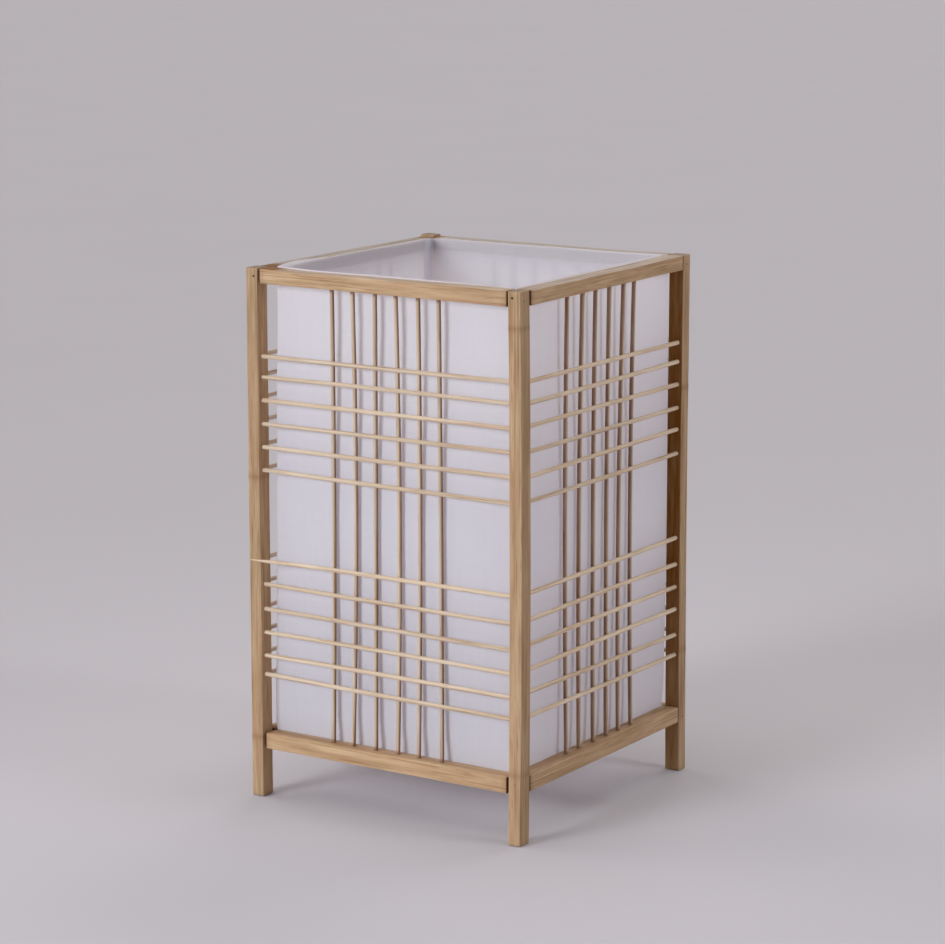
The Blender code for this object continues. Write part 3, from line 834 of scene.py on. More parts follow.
def run_tree(piece, tree, sockets, values):
    """Runs a tree on a piece with these inputs, and keeps the plain mesh that it makes."""
    modifier = piece.modifiers.new(tree.name, "NODES")
    modifier.node_group = tree
    for label, value in values.items():
        modifier[sockets[label]] = value
    bpy.context.view_layer.update()
    graph = bpy.context.evaluated_depsgraph_get()
    mesh = bpy.data.meshes.new_from_object(piece.evaluated_get(graph))
    piece.modifiers.clear()
    guides = piece.data
    piece.data = mesh
    mesh.name = piece.name
    bpy.data.meshes.remove(guides)
    return mesh


print("tree helpers:", [helper.__name__ for helper in (new_tree, close_tree, run_tree)])

# %% [markdown]
# The sticks' tree turns the guides into curves, sweeps a ring of so many sides along them at each point's
# thickness, and pushes the surface in and out by a smooth noise, so that no stick is a perfect cylinder. A
# curve's own bevel could sweep them too, but it can't make the surface uneven.

# %% Tree for the sticks
stick_inputs = {
    "Guides": "NodeSocketGeometry",
    "Sides": "NodeSocketInt",
    "Unevenness": "NodeSocketFloat",
    "Finish": "NodeSocketMaterial",
}
tree, stick_sockets, given = new_tree("round_sticks", stick_inputs)
lines = put(tree, "GeometryNodeMeshToCurve", {"Mesh": given.outputs["Guides"]})
ring = put(tree, "GeometryNodeCurvePrimitiveCircle", {"Resolution": given.outputs["Sides"], "Radius": 1.0})
thickness = put(tree, "GeometryNodeInputNamedAttribute", {"Name": "thickness"}, data_type="FLOAT")
swept = put(
    tree,
    "GeometryNodeCurveToMesh",
    {
        "Curve": lines.outputs["Curve"],
        "Profile Curve": ring.outputs["Curve"],
        "Scale": thickness.outputs["Attribute"],
        "Fill Caps": True,
    },
)
ripple = put(tree, "ShaderNodeTexNoise", {"Scale": 130.0, "Detail": 1.0})
push = math_node(tree, "SUBTRACT", ripple.outputs["Fac"], 0.5)
push = math_node(tree, "MULTIPLY", push, given.outputs["Unevenness"])
outward = put(tree, "GeometryNodeInputNormal")
shift = put(tree, "ShaderNodeVectorMath", {0: outward.outputs["Normal"], "Scale": push}, operation="SCALE")
uneven = put(
    tree, "GeometryNodeSetPosition", {"Geometry": swept.outputs["Mesh"], "Offset": shift.outputs["Vector"]}
)
smooth = put(tree, "GeometryNodeSetShadeSmooth", {"Geometry": uneven.outputs["Geometry"]})
close_tree(tree, smooth.outputs["Geometry"], given.outputs["Finish"])
stick_tree = tree
print(stick_tree.name, "has", len(stick_tree.nodes), "nodes")

# %% [markdown]
# The tree runs once for the uprights and once for the rows of each side. Which way an upright's painted shade
# looks is read from the sticks' own normals, so it stays on the same side of every stick along its length.

# %% Sticks
STICK_SIDES = 12
STICK_UNEVENNESS = 0.22 * MM
STICK_SEED = 21
GRAIN_RANGE = (0, 3)
# How gently the painted shade of an upright comes in, and how dark it gets at most.
SHADE_BLEND = 0.32
DARKEST_SHADE = 0.95

# Which way along its side the painted shade of an upright looks, away from the light, and how far round the
# stick it starts.
UPRIGHT_SHADE_SIDES = {"front": (1, 0.60), "right": (-1, 0.35), "back": (1, 0.60), "left": (1, 0.60)}

draw = random.Random(STICK_SEED)
for side in TURNS:
    for kind in ("uprights", "rows"):
        if kind == "uprights":
            guides = upright_guides(side, draw)
        else:
            guides = row_guides(side, draw)
        if kind == "rows" and side == "front":
            guides[SPLIT_ROW] = split_end(guides[SPLIT_ROW])
        piece = add_piece(f"stick_{kind}_{side}", guide_mesh(f"guides_{kind}_{side}", guides))
        values = {"Sides": STICK_SIDES, "Unevenness": STICK_UNEVENNESS, "Finish": stick_bamboo}
        mesh = run_tree(piece, stick_tree, stick_sockets, values)
        if kind == "uprights":
            shade_way, edge = UPRIGHT_SHADE_SIDES[side]
            stains_and_shades = []
            for vertex in mesh.vertices:
                # Painted shade down the side of each upright that is away from the light, and at its ends where
                # it enters the rails.
                painted_shading = (shade_way * vertex.normal.x - edge) / SHADE_BLEND
                inside = min(vertex.co.z - UPRIGHT_LOW, UPRIGHT_TOP - vertex.co.z) / MM
                dark = (DARK_ENDS[-1] - inside) / (DARK_ENDS[-1] - DARK_ENDS[-2])
                stains_and_shades.append(min(max(painted_shading, dark, 0.0), DARKEST_SHADE))
            mark_grain(mesh, Z, draw.uniform(*GRAIN_RANGE), stains_and_shades=stains_and_shades)
        else:
            mark_grain(mesh, X, draw.uniform(*GRAIN_RANGE))
        mesh.transform(to_side(side))
        settle(piece, "lamp", "stick_bamboo", f"lattice_{side}")
        print(piece.name, len(guides), "sticks,", len(mesh.polygons), "faces")

# %% [markdown]
# ## Cloth lining
#
# The lining is one length of thin white cloth, wrapped round the inside of both rings of rails and glued to
# them, with its ends lapped at the back left corner. Between the rails nothing holds it, so it bellies out
# towards the sticks by a few millimetres, most of all at half height, and its creased corners reach out
# between the rail ends towards the posts. Near the front left corner it has come away from the left top rail
# and stands higher, which leaves a dark gap there. Elsewhere its top edge was trimmed close to the rails. It
# is cut flat as a rectangle: the way round plus the lap, by the height plus the laps on the rails.
#
# A cloth simulation could find how it hangs, but not how this one was glued and pulled. The photograph shows
# that, by how close the sticks' shadows lie to the sticks, so the shape is read from tables.

# %% Sizes and marks of the lining
LINING_HALF = -RAIL_INNER - 0.3 * MM
LINING_CORNER = 1.0 * MM
LINING_LOW = rail_heights["bottom"][1] - 4.0 * MM
STRAIGHT = LINING_HALF - LINING_CORNER
END_ZONE = 1.9 * MM
LAP = 10 * MM
LAP_DEPTH = 0.35 * MM
CLOTH_RIPPLE = 0.10 * MM
EDGE_RIPPLE = 0.1
GENTLE_POWER = 5
SIDE_STEPS = 48
CORNER_STEPS = 4
LAP_STEPS = 5
LINING_ROWS = 84

# Between these heights nothing holds the lining, and near them it starts to.
FREE_LOW = 0.0438
FREE_TOP = 0.3400
FREE_BLEND = 0.004

# Ripples of the cloth and of its top edge: their waves, and how far apart the sides are in the noise.
RIPPLE_ALONG = 1.6
RIPPLE_UP = 5
RIPPLE_START = 1.5
RIPPLE_STEP = 7
EDGE_WAVES = 9
EDGE_STEP = 4.2

# How far each side stands out from the rails' inner line, in millimetres: height, left end, middle and right
# end.
STANDS_OUT = {
    "front": [
        (39, 0.0, 0.0, 0.0), (43.4, 0.2, 0.0, 0.0), (64, 0.5, 1.6, 0.3), (110, 0.4, 2.6, 0.3),
        (150, 0.3, 3.3, 0.3), (190, 0.3, 3.5, 0.3), (230, 0.2, 2.9, 0.2), (280, 0.1, 1.2, 0.1),
        (322, 0.0, 0.0, 0.0), (353, 0.0, 0.0, 0.0),
    ],
    "right": [
        (39, 0.0, 0.0, 0.6), (43.4, 0.0, 0.0, 0.8), (64, 0.3, 0.9, 1.9), (110, 0.4, 2.2, 2.3),
        (150, 0.4, 3.0, 2.6), (200, 0.4, 3.2, 2.7), (240, 0.3, 2.6, 2.6), (290, 0.2, 1.1, 2.5),
        (322, 0.2, 0.5, 2.4), (336, 0.1, 0.1, 2.2), (340, 0.0, 0.0, 1.2), (353, 0.0, 0.0, 1.2),
    ],
    "back": [
        (39, 0.6, 0.0, 0.0), (43.4, 0.9, 0.0, 0.0), (64, 1.4, 1.0, 0.3), (200, 2.1, 1.2, 0.3),
        (330, 2.0, 0.2, 0.0), (353, 1.8, 0.0, 0.0),
    ],
    "left": [
        (39, 0.0, 0.0, 1.5), (43.4, 0.0, 0.0, 1.7), (47, 0.0, 0.1, 2.7), (64, 0.2, 0.8, 2.5),
        (130, 0.3, 1.0, 0.8), (250, 0.2, 0.6, -1.0), (328, 0.0, 0.0, -2.7), (353, 0.0, 0.0, -3.0),
    ],
}

# How far its top edge is above the tops of the posts, in millimetres, from a side's left end to its right.
TOP_EDGE = {
    "front": [(-1, 0.4), (-0.6, -0.1), (0, 0.3), (0.5, 0.4), (1, -0.2)],
    "right": [(-1, -0.2), (-0.5, 0.6), (0.5, 0.9), (0.85, 0.8), (1, 0.0)],
    "back": [(-1, 0.0), (-0.5, -0.6), (0.3, -1.0), (0.9, -1.2), (1, -1.7)],
    "left": [
        (-1, -1.7), (-0.9, -0.9), (0.3, -0.8), (0.5, 0.0), (0.65, 0.8), (0.8, 1.1), (0.93, 0.8), (1, 0.3),
    ],
}
print("lining's straight sides, mm:", round(2 * STRAIGHT / MM, 1))

# %% [markdown]
# The lining is a grid: columns round the lamp, from the lap at the back left corner and back to it, and rows
# up it. A side takes its middle value over most of its width and changes towards its ends. At the rails it
# does so at the very ends, because the rails hold it straight, and between them more gently.

# %% Points of the lining
def stand_out(side, z):
    """How far a side stands out at a height: at its left end, its middle and its right end."""
    return [value * MM for value in between(STANDS_OUT[side], z / MM)]


def lining_columns():
    """The way round, as (side, place along it, angle round the corner at its right end, depth of the lap)."""
    columns = []
    for side in ("left", "front", "right", "back"):
        columns.append((side, -STRAIGHT, 0.0, 0.0))
        for step in range(SIDE_STEPS + 1):
            columns.append((side, (STRAIGHT - END_ZONE) * (2 * step / SIDE_STEPS - 1), 0.0, 0.0))
        columns.append((side, STRAIGHT, 0.0, 0.0))
        for step in range(1, CORNER_STEPS):
            columns.append((side, STRAIGHT, math.pi / 2 * step / CORNER_STEPS, 0.0))
    for step in range(LAP_STEPS + 1):
        columns.append(("left", -STRAIGHT + LAP * step / LAP_STEPS, 0.0, LAP_DEPTH * min(step, 2) / 2))
    return columns


def lining_point(side, x, angle, lapped, z):
    """One point of the lining. Its corners reach out between the rails, towards the posts."""
    sides = list(TURNS)
    number = sides.index(side)
    left, middle, right = stand_out(side, z)
    beyond_left = stand_out(sides[number - 1], z)[2]
    beyond_right = stand_out(sides[(number + 1) % 4], z)[0]
    share = x / STRAIGHT
    end = right if share > 0 else left
    free = max(min((z - FREE_LOW) / FREE_BLEND, (FREE_TOP - z) / FREE_BLEND, 1.0), 0.0)
    gentle = abs(share) ** GENTLE_POWER
    tight = max(1 - (1 - abs(share)) * STRAIGHT / END_ZONE, 0.0)
    near_end = gentle if end < middle else free * gentle + (1 - free) * tight
    out = middle + (end - middle) * near_end
    spot = Vector((share * RIPPLE_ALONG, z * RIPPLE_UP, RIPPLE_START + RIPPLE_STEP * number))
    out += CLOTH_RIPPLE * free * noise.noise(spot)
    across = x + LINING_CORNER * math.sin(angle)
    across = across + beyond_right * max(share, 0.0) - beyond_left * max(-share, 0.0)
    inwards = -STRAIGHT - LINING_CORNER * math.cos(angle) - out + lapped
    return to_side(side) @ Vector((across, inwards, z))


def top_edge(side, x):
    """Height of the lining's top edge."""
    share = x / STRAIGHT
    ripple = EDGE_RIPPLE * noise.noise(Vector((EDGE_WAVES * share, EDGE_STEP * len(side), 0)))
    return HEIGHT + (between(TOP_EDGE[side], share)[0] + ripple) * MM


columns = lining_columns()
print("lining:", len(columns), "columns of", LINING_ROWS + 1, "points")

# %% [markdown]
# The mesh joins the points of neighbouring columns. Its UV map is the cloth laid flat, in metres: the way
# round at half height, and the height. The weave then follows the cloth round the corners.

# %% Mesh of the lining
points = []
for side, x, angle, lapped in columns:
    top = top_edge(side, x)
    for row in range(LINING_ROWS + 1):
        z = LINING_LOW + (top - LINING_LOW) * row / LINING_ROWS
        points.append(lining_point(side, x, angle, lapped, z))
stride = LINING_ROWS + 1
middle_row = [points[column * stride + LINING_ROWS // 2] for column in range(len(columns))]
lengths = [0.0]
for before, after in zip(middle_row, middle_row[1:]):
    lengths.append(lengths[-1] + (after - before).length)
faces = []
for column in range(len(columns) - 1):
    for row in range(LINING_ROWS):
        first = column * stride + row
        faces.append((first, first + stride, first + stride + 1, first + 1))
mesh = bpy.data.meshes.new("lining")
mesh.from_pydata(points, [], faces)
mesh.shade_smooth()
mesh.set_sharp_from_angle(angle=math.radians(60))
layer = mesh.uv_layers.new(name="threads")
for loop, stored in zip(mesh.loops, layer.data):
    stored.uv = (lengths[loop.vertex_index // stride], points[loop.vertex_index].z)

# %% [markdown]
# The cloth is a plain weave of fine white threads. Close to, the threads show as a grid of small ridges, and
# here and there a thicker thread runs up or across. A little over two fifths of the light that falls on one
# face comes out of the other, a little warmer, which is what makes the shadows of the back rails and posts
# show on the inside. A thin solid with light scattered inside it would look much the same and take far longer
# to render, so the cloth is one surface with a translucent shader.

# %% Cloth
LIGHT_THROUGH = 0.43

cloth, tree, surface = new_finish("white_cloth")
thread = put(tree, "ShaderNodeUVMap", uv_map="threads").outputs["UV"]
warp = drawn_noise(tree, thread, (2100.0, 40.0, 1.0), 1.0)
weft = drawn_noise(tree, thread, (40.0, 2100.0, 1.0), 1.0)
half_warp = math_node(tree, "MULTIPLY", warp, 0.5)
weave = math_node(tree, "ADD", half_warp, math_node(tree, "MULTIPLY", weft, 0.5))
slub = spread(tree, drawn_noise(tree, thread, (230.0, 6.0, 1.0), 2.0), 0.30, 0.70)
cloudy = spread(tree, drawn_noise(tree, thread, (22.0, 14.0, 1.0), 2.0), 0.30, 0.70)
colour = mix(tree, slub, (0.835, 0.838, 0.930, 1), (0.805, 0.810, 0.905, 1))
colour = mix(tree, math_node(tree, "MULTIPLY", cloudy, 0.35), colour, (0.798, 0.802, 0.898, 1))
colour = mix(tree, spread(tree, weave, 0.42, 0.62), colour, (0.850, 0.855, 0.945, 1))
feed(tree, surface.inputs["Base Color"], colour)
surface.inputs["Roughness"].default_value = 0.92
surface.inputs["Specular IOR Level"].default_value = 0.2
surface.inputs["Sheen Weight"].default_value = 0.08
bump = put(tree, "ShaderNodeBump", {"Height": weave, "Strength": 0.30, "Distance": 0.0002})
feed(tree, surface.inputs["Normal"], bump.outputs["Normal"])
warmer = mix(tree, 0.6, colour, (0.900, 0.810, 0.790, 1))
through = put(tree, "ShaderNodeBsdfTranslucent", {"Color": warmer, "Normal": bump.outputs["Normal"]})
shaders = {0: LIGHT_THROUGH, 1: surface.outputs["BSDF"], 2: through.outputs["BSDF"]}
both = put(tree, "ShaderNodeMixShader", shaders)
feed(tree, tree.nodes["Material Output"].inputs["Surface"], both.outputs["Shader"])

lining = add_piece("lining", mesh, cloth)
settle(lining, "lamp", "cloth", "cloth_lining")

# %% [markdown]
# ## Metal, plastic, ceramic and glass
#
# These are small pieces that show from above and below. Each finish varies a little over its surface: brushed
# marks on metal, a fine moulded texture on plastic, speckle on ceramic and a soft frost on the opal globe.
# Plain colours would do at this size, but they look like no material at all close to. One function makes them
# all, because they differ only in their colours, their shine and the size of their marks.

# %% Hard finishes
def hard_finish(name, paler, deeper, metallic, rough, scale, bump_height):
    """A finish that varies between two close colours, with its own fine bump."""
    finish, tree, surface = new_finish(name)
    place = put(tree, "ShaderNodeTexCoord").outputs["Object"]
    broad = spread(tree, drawn_noise(tree, place, (90.0, 90.0, 90.0), 3.0), 0.30, 0.70)
    fine = drawn_noise(tree, place, scale, 2.0)
    feed(tree, surface.inputs["Base Color"], mix(tree, broad, paler, deeper))
    surface.inputs["Metallic"].default_value = metallic
    varied = put(tree, "ShaderNodeMapRange", {"Value": fine, "To Min": rough - 0.1, "To Max": rough + 0.1})
    feed(tree, surface.inputs["Roughness"], varied.outputs["Result"])
    bump = put(tree, "ShaderNodeBump", {"Height": fine, "Strength": 0.3, "Distance": bump_height})
    feed(tree, surface.inputs["Normal"], bump.outputs["Normal"])
    return finish


# Marks to the metre along each axis: even all ways, or rings round an upright axis.
EVEN = (2500.0, 2500.0, 2500.0)
RINGED = (300.0, 300.0, 5000.0)

# Paler colour, deeper colour, how metallic and rough it is, its marks and the height of its bump.
HARD_FINISHES = {
    "steel": ((0.55, 0.54, 0.52, 1), (0.44, 0.43, 0.42, 1), 1.0, 0.36, RINGED, 0.00003),
    "dark_steel": ((0.075, 0.058, 0.048, 1), (0.045, 0.033, 0.027, 1), 0.6, 0.62, EVEN, 0.00004),
    "brass": ((0.74, 0.57, 0.27, 1), (0.62, 0.46, 0.20, 1), 1.0, 0.34, RINGED, 0.00003),
    "ceramic": ((0.82, 0.80, 0.76, 1), (0.76, 0.74, 0.69, 1), 0.0, 0.38, EVEN, 0.00002),
    "white_plastic": ((0.80, 0.80, 0.78, 1), (0.76, 0.76, 0.74, 1), 0.0, 0.42, EVEN, 0.00003),
    "black_plastic": ((0.035, 0.035, 0.036, 1), (0.022, 0.022, 0.023, 1), 0.0, 0.48, EVEN, 0.00003),
    "opal_glass": ((0.88, 0.88, 0.86, 1), (0.84, 0.84, 0.82, 1), 0.0, 0.28, EVEN, 0.00001),
}
made = {name: hard_finish(name, *settings) for name, settings in HARD_FINISHES.items()}
steel, dark_steel, brass = made["steel"], made["dark_steel"], made["brass"]
ceramic, opal_glass = made["ceramic"], made["opal_glass"]
white_plastic, black_plastic = made["white_plastic"], made["black_plastic"]
opal_glass.node_tree.nodes["Principled BSDF"].inputs["Coat Weight"].default_value = 0.3
print("hard finishes:", list(made))

# %% [markdown]
# ## Nails
#
# Each rail end is pinned by a thin nail through the post. Only the heads show, dark and driven in flush, the
# largest on the front of the posts at the top. Their places and directions are read from the CAD nails, and
# one Geometry Nodes tree puts a head at each. Copies could be placed by hand, but the tree keeps them on the
# posts wherever the posts are.

# %% Tree for the nails
nail_inputs = {"Places": "NodeSocketGeometry", "Largest": "NodeSocketFloat", "Finish": "NodeSocketMaterial"}
tree, nail_sockets, given = new_tree("nail_heads", nail_inputs)
head = put(
    tree,
    "GeometryNodeMeshCone",
    {"Vertices": 14, "Side Segments": 2, "Radius Top": 0.55, "Radius Bottom": 1.0, "Depth": 0.22},
)
aim = put(tree, "GeometryNodeInputNamedAttribute", {"Name": "aim"}, data_type="FLOAT_VECTOR")
share = put(tree, "GeometryNodeInputNamedAttribute", {"Name": "share"}, data_type="FLOAT")
size = math_node(tree, "MULTIPLY", share.outputs["Attribute"], given.outputs["Largest"])
turn = put(tree, "FunctionNodeAlignRotationToVector", {"Vector": aim.outputs["Attribute"]}, axis="Z")
spots = put(tree, "GeometryNodeMeshToPoints", {"Mesh": given.outputs["Places"]})
heads = put(
    tree,
    "GeometryNodeInstanceOnPoints",
    {
        "Points": spots.outputs["Points"],
        "Instance": head.outputs["Mesh"],
        "Rotation": turn.outputs["Rotation"],
        "Scale": size,
    },
)
close_tree(tree, heads.outputs["Instances"], given.outputs["Finish"])
nail_tree = tree
print(nail_tree.name, "has", len(nail_tree.nodes), "nodes")

# %% [markdown]
# A nail's direction is the longest side of its CAD box, and its head lies where that line leaves the post.
# Heads vary in size: those on the front at the top are the largest, and those at the bottom of the front
# hardly show.

# %% Nails
NAIL_RADIUS = 1.05 * MM
NAIL_SINK = 0.05 * MM
SIDE_NAIL = 0.65
LOW_FRONT_NAIL = 0.35

# Nails that were driven to one side of the line or lower, in millimetres along the post's face and up.
NAIL_STRAY = {"nail_top_left_front": (1.6, -1.6), "nail_top_right_front": (-1.2, -0.5)}

nails = [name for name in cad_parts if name.startswith("nail_")]
places, aims, shares = [], [], []
for name in nails:
    low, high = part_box(name)
    size = high - low
    axis = max(range(3), key=lambda i: size[i])
    outward = Vector((0, 0, 0))
    outward[axis] = 1.0 if high[axis] + low[axis] > 0 else -1.0
    place = (low + high) / 2
    place[axis] = outward[axis] * HALF
    corner = ("front" if place.y < 0 else "back") + ("_left" if place.x < 0 else "_right")
    along, up = NAIL_STRAY.get(name, (0, 0))
    place += Vector((along * MM, 0, up * MM))
    places.append(place + post_stray(corner, place.z) - outward * NAIL_SINK)
    aims.append(outward)
    if "_bottom_" in name and place.y < 0:
        shares.append(LOW_FRONT_NAIL)
    else:
        shares.append(1.0 if outward.y < 0 else SIDE_NAIL)
mesh = bpy.data.meshes.new("nail_places")
mesh.from_pydata(places, [], [])
stored = mesh.attributes.new("aim", "FLOAT_VECTOR", "POINT")
for entry, outward in zip(stored.data, aims):
    entry.vector = outward
stored = mesh.attributes.new("share", "FLOAT", "POINT")
stored.data.foreach_set("value", shares)
piece = add_piece("nail_heads", mesh)
mesh = run_tree(piece, nail_tree, nail_sockets, {"Largest": NAIL_RADIUS, "Finish": dark_steel})
settle(piece, "lamp", "steel", *nails)
print(len(nails), "nails,", len(mesh.polygons), "faces")

# %% [markdown]
# ## Bar across the bottom
#
# A flat strip of the same bamboo, let into the left and right bottom rails from below, carries the
# lampholder. It doesn't show in the photograph, and it is made as the posts are, so that it looks like the
# rest from above.

# %% Bar
BAR_DROP = 0.2 * MM
BAR_EDGE = 0.6 * MM
BAR_SLICE = 5 * MM
BAR_WANDER = 0.15 * MM
BAR_SEED = 3.3
BAR_GRAIN = 1.9
BAR_TONE = 0.98

bar_low, bar_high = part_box("holder_bar")
corners = [(bar_low.x, bar_low.y), (bar_high.x, bar_low.y), (bar_high.x, bar_high.y), (bar_low.x, bar_high.y)]
shape = prism(corners, bar_low.z - BAR_DROP, bar_high.z)
round_edges(shape, shape.edges[:], BAR_EDGE)
cut_across(shape, X, BAR_SLICE)
wander(shape, X, BAR_SEED, BAR_WANDER)
mesh = mesh_from("bamboo_bar", shape)
mark_grain(mesh, X, BAR_GRAIN, [BAR_TONE] * len(mesh.vertices))
piece = add_piece("bamboo_bar", mesh, strip_bamboo)
settle(piece, "lamp", "bamboo", "holder_bar")
print(piece.name, len(mesh.polygons), "faces")

# %% [markdown]
# ## Turned shapes
#
# The pieces of the lampholder and the bulb are turned shapes: a profile of radius and height, spun round the
# upright axis. A Screw modifier could spin them, but then every section is the same circle. Here a function
# can swell the radius by angle and height, which cuts the screw thread of the cap, the ribs of the collar and
# the grip of the holder's shell.

# %% Helpers for turned shapes
def turned_shape(profile, steps=64, swell=None):
    """Spins (radius, height) points, given down the outer side, round the axis."""
    shape = bmesh.new()
    loops = []
    for radius, z in profile:
        if radius == 0:
            loops.append([shape.verts.new((0, 0, z))])
            continue
        loop = []
        for step in range(steps):
            angle = 2 * math.pi * step / steps
            wide = radius + (swell(angle, z, radius) if swell else 0.0)
            loop.append(shape.verts.new((wide * math.cos(angle), wide * math.sin(angle), z)))
        loops.append(loop)
    pairs = list(zip(loops, loops[1:]))
    if profile[0][0] > 0:
        pairs.append((loops[-1], loops[0]))
    for upper, lower in pairs:
        for step in range(steps):
            after = (step + 1) % steps
            corners = [upper[step % len(upper)], lower[step % len(lower)]]
            corners += [lower[after % len(lower)], upper[after % len(upper)]]
            unique = list(dict.fromkeys(corners))
            if len(unique) > 2:
                shape.faces.new(unique)
    return shape


def turned_piece(name, profile, finish, body, slot, node, steps=64, swell=None):
    """A turned shape as a finished piece in place of its CAD node."""
    mesh = mesh_from(name, turned_shape(profile, steps, swell))
    return settle(add_piece(name, mesh, finish), body, slot, node)


def stacked(radius, low, high, count):
    """Evenly spaced points down a straight side."""
    return [(radius, high + (low - high) * i / count) for i in range(count + 1)]


print("a straight side, mm:", [(radius, round(z / MM, 1)) for radius, z in stacked(1, 0, 3 * MM, 3)])

# %% [markdown]
# ## Bulb
#
# The bulb has an opal globe, a ribbed collar and a threaded cap. None of it shows in the photograph, so its
# shapes are the common ones, at the sizes of the CAD solids. The globe is a real wall a millimetre thick: a
# single surface would do from outside, but then its mesh would be an open sheet.

# %% Globe
GLOBE_WALL = MM
GLOBE_STEPS = 30

low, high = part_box("bulb_globe")
globe = high.x
middle = high.z - globe
collar_low, collar_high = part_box("bulb_collar")
neck = collar_high.x
lowest = -math.acos(neck / globe)
angles = [math.pi / 2 + (lowest - math.pi / 2) * i / GLOBE_STEPS for i in range(GLOBE_STEPS + 1)]
outer = [(globe * math.cos(a), middle + globe * math.sin(a)) for a in angles]
outer[0] = (0, high.z)
wall = globe - GLOBE_WALL
inner = [(wall * math.cos(a), middle + wall * math.sin(a)) for a in angles]
inner[0] = (0, high.z - GLOBE_WALL)
foot = [(neck, low.z), (neck - GLOBE_WALL, low.z)]
turned_piece("opal_globe", outer + foot + inner[::-1], opal_glass, "bulb", "opal_glass", "bulb_globe")
print("globe, mm across:", round(2 * globe / MM, 1))

# %% [markdown]
# The collar narrows from the globe to the cap, with flutes that let its heat out. The cap's thread is rolled
# from thin metal, so it is as round in its hollows as on its crests, and a cosine gives that section.

# %% Collar and cap
RIB_COUNT = 30
RIB_DEPTH = 0.55 * MM
RIB_BLEND = 0.15
THREAD_PITCH = 3.6 * MM
THREAD_DEPTH = 0.4 * MM
THREAD_BLEND = 1.2 * MM
THREAD_TOP = 1.5 * MM
CAP_SHOULDER = 2.6 * MM
CAP_EDGE = 0.3 * MM
CAP_STEPS = 60
COLLAR_BAND = 3 * MM
COLLAR_TOP_EDGE = 0.6 * MM
COLLAR_LOW_EDGE = 0.4 * MM
RIB_START = 3.5 * MM
FLARE_STEPS = 14
FLARE_POWER = 1.25

cap_low, cap_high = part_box("bulb_cap")
cap = cap_high.x
tall = collar_high.z - collar_low.z
flare = []
for i in range(FLARE_STEPS + 1):
    t = i / FLARE_STEPS
    radius = neck + (cap - neck) * t ** FLARE_POWER
    flare.append((radius, collar_high.z - COLLAR_BAND - (tall - 2 * COLLAR_BAND) * t))
collar = [(0, collar_high.z), (neck - COLLAR_TOP_EDGE, collar_high.z)]
collar += [(neck, collar_high.z - COLLAR_TOP_EDGE)] + flare
collar += [(cap, collar_low.z + COLLAR_LOW_EDGE), (cap - COLLAR_LOW_EDGE, collar_low.z)]
collar.append((0, collar_low.z))


def collar_ribs(angle, z, radius):
    """Shallow flutes down the flare of the collar."""
    t = (collar_high.z - RIB_START - z) / (tall - 2 * RIB_START)
    if not 0 < t < 1:
        return 0.0
    depth = min(t, 1 - t, RIB_BLEND) / RIB_BLEND
    return -RIB_DEPTH * depth * max(math.cos(RIB_COUNT * angle), 0.0)


turned_piece("bulb_neck", collar, white_plastic, "bulb", "white_plastic", "bulb_collar", 180, collar_ribs)


def cap_thread(angle, z, radius):
    """A round screw thread that fades out at both ends."""
    if radius < cap - NEAR_FACE:
        return 0.0
    edge = min(z - cap_low.z - CAP_SHOULDER, cap_high.z - THREAD_TOP - z) / THREAD_BLEND
    fade = max(min(edge, 1.0), 0.0)
    return -THREAD_DEPTH * fade * (1 + math.cos(2 * math.pi * z / THREAD_PITCH - angle))


shoulder = cap_low.z + CAP_SHOULDER
cap_side = stacked(cap, shoulder, cap_high.z - CAP_EDGE, CAP_STEPS)
cap_profile = [(0, cap_high.z), (cap - CAP_EDGE, cap_high.z)] + cap_side
cap_profile += [(cap - CAP_SHOULDER, cap_low.z), (0, cap_low.z)]
turned_piece("screw_cap", cap_profile, steel, "bulb", "steel", "bulb_cap", 48, cap_thread)
print("cap, mm across:", round(2 * cap / MM, 1))

# %% [markdown]
# ## Lampholder
#
# A common screw lampholder: a base like a cup that stands on the bar, a ribbed shell that screws onto it, and
# a round bush below, where a cord would go in. The shell's ridges are for the grip of a hand. They could be a
# bump in the material, but then the mesh itself would be smooth.

# %% Lampholder
GRIP_COUNT = 40
GRIP_DEPTH = 0.45 * MM
GRIP_BLEND = 0.8 * MM
GRIP_LOW = 2 * MM
GRIP_TOP = 15 * MM
SHELL_WALL = 2.2 * MM
SHELL_LIP = 2 * MM
SHELL_STEPS = 40
SMALL_EDGE = 0.3 * MM
BOSS = 9 * MM
BOSS_TALL = 4.7 * MM
CONE_STEPS = 10
CUP_RIM = 8 * MM
CUP_FLOOR = 8 * MM
CUP_WALL = 2.2 * MM
CUP_LOW_WALL = 3.7 * MM
CUP_RISE = 2 * MM
TUBE_PLAY = 0.3 * MM
BUSH_EDGE = 0.4 * MM
BUSH_ROUND = 1.6 * MM
BUSH_STEPS = 6
CORD_HOLE = 3.6 * MM
CORD_MOUTH = 3.9 * MM

low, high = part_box("holder_shell")
shell = high.x
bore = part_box("screw_shell")[1].x


def shell_grip(angle, z, radius):
    """Small ridges round the lower half of the shell."""
    if radius < shell - NEAR_FACE:
        return 0.0
    edge = min(z - low.z - GRIP_LOW, low.z + GRIP_TOP - z) / GRIP_BLEND
    return -GRIP_DEPTH * max(min(edge, 1.0), 0.0) * (0.5 + 0.5 * math.cos(GRIP_COUNT * angle))


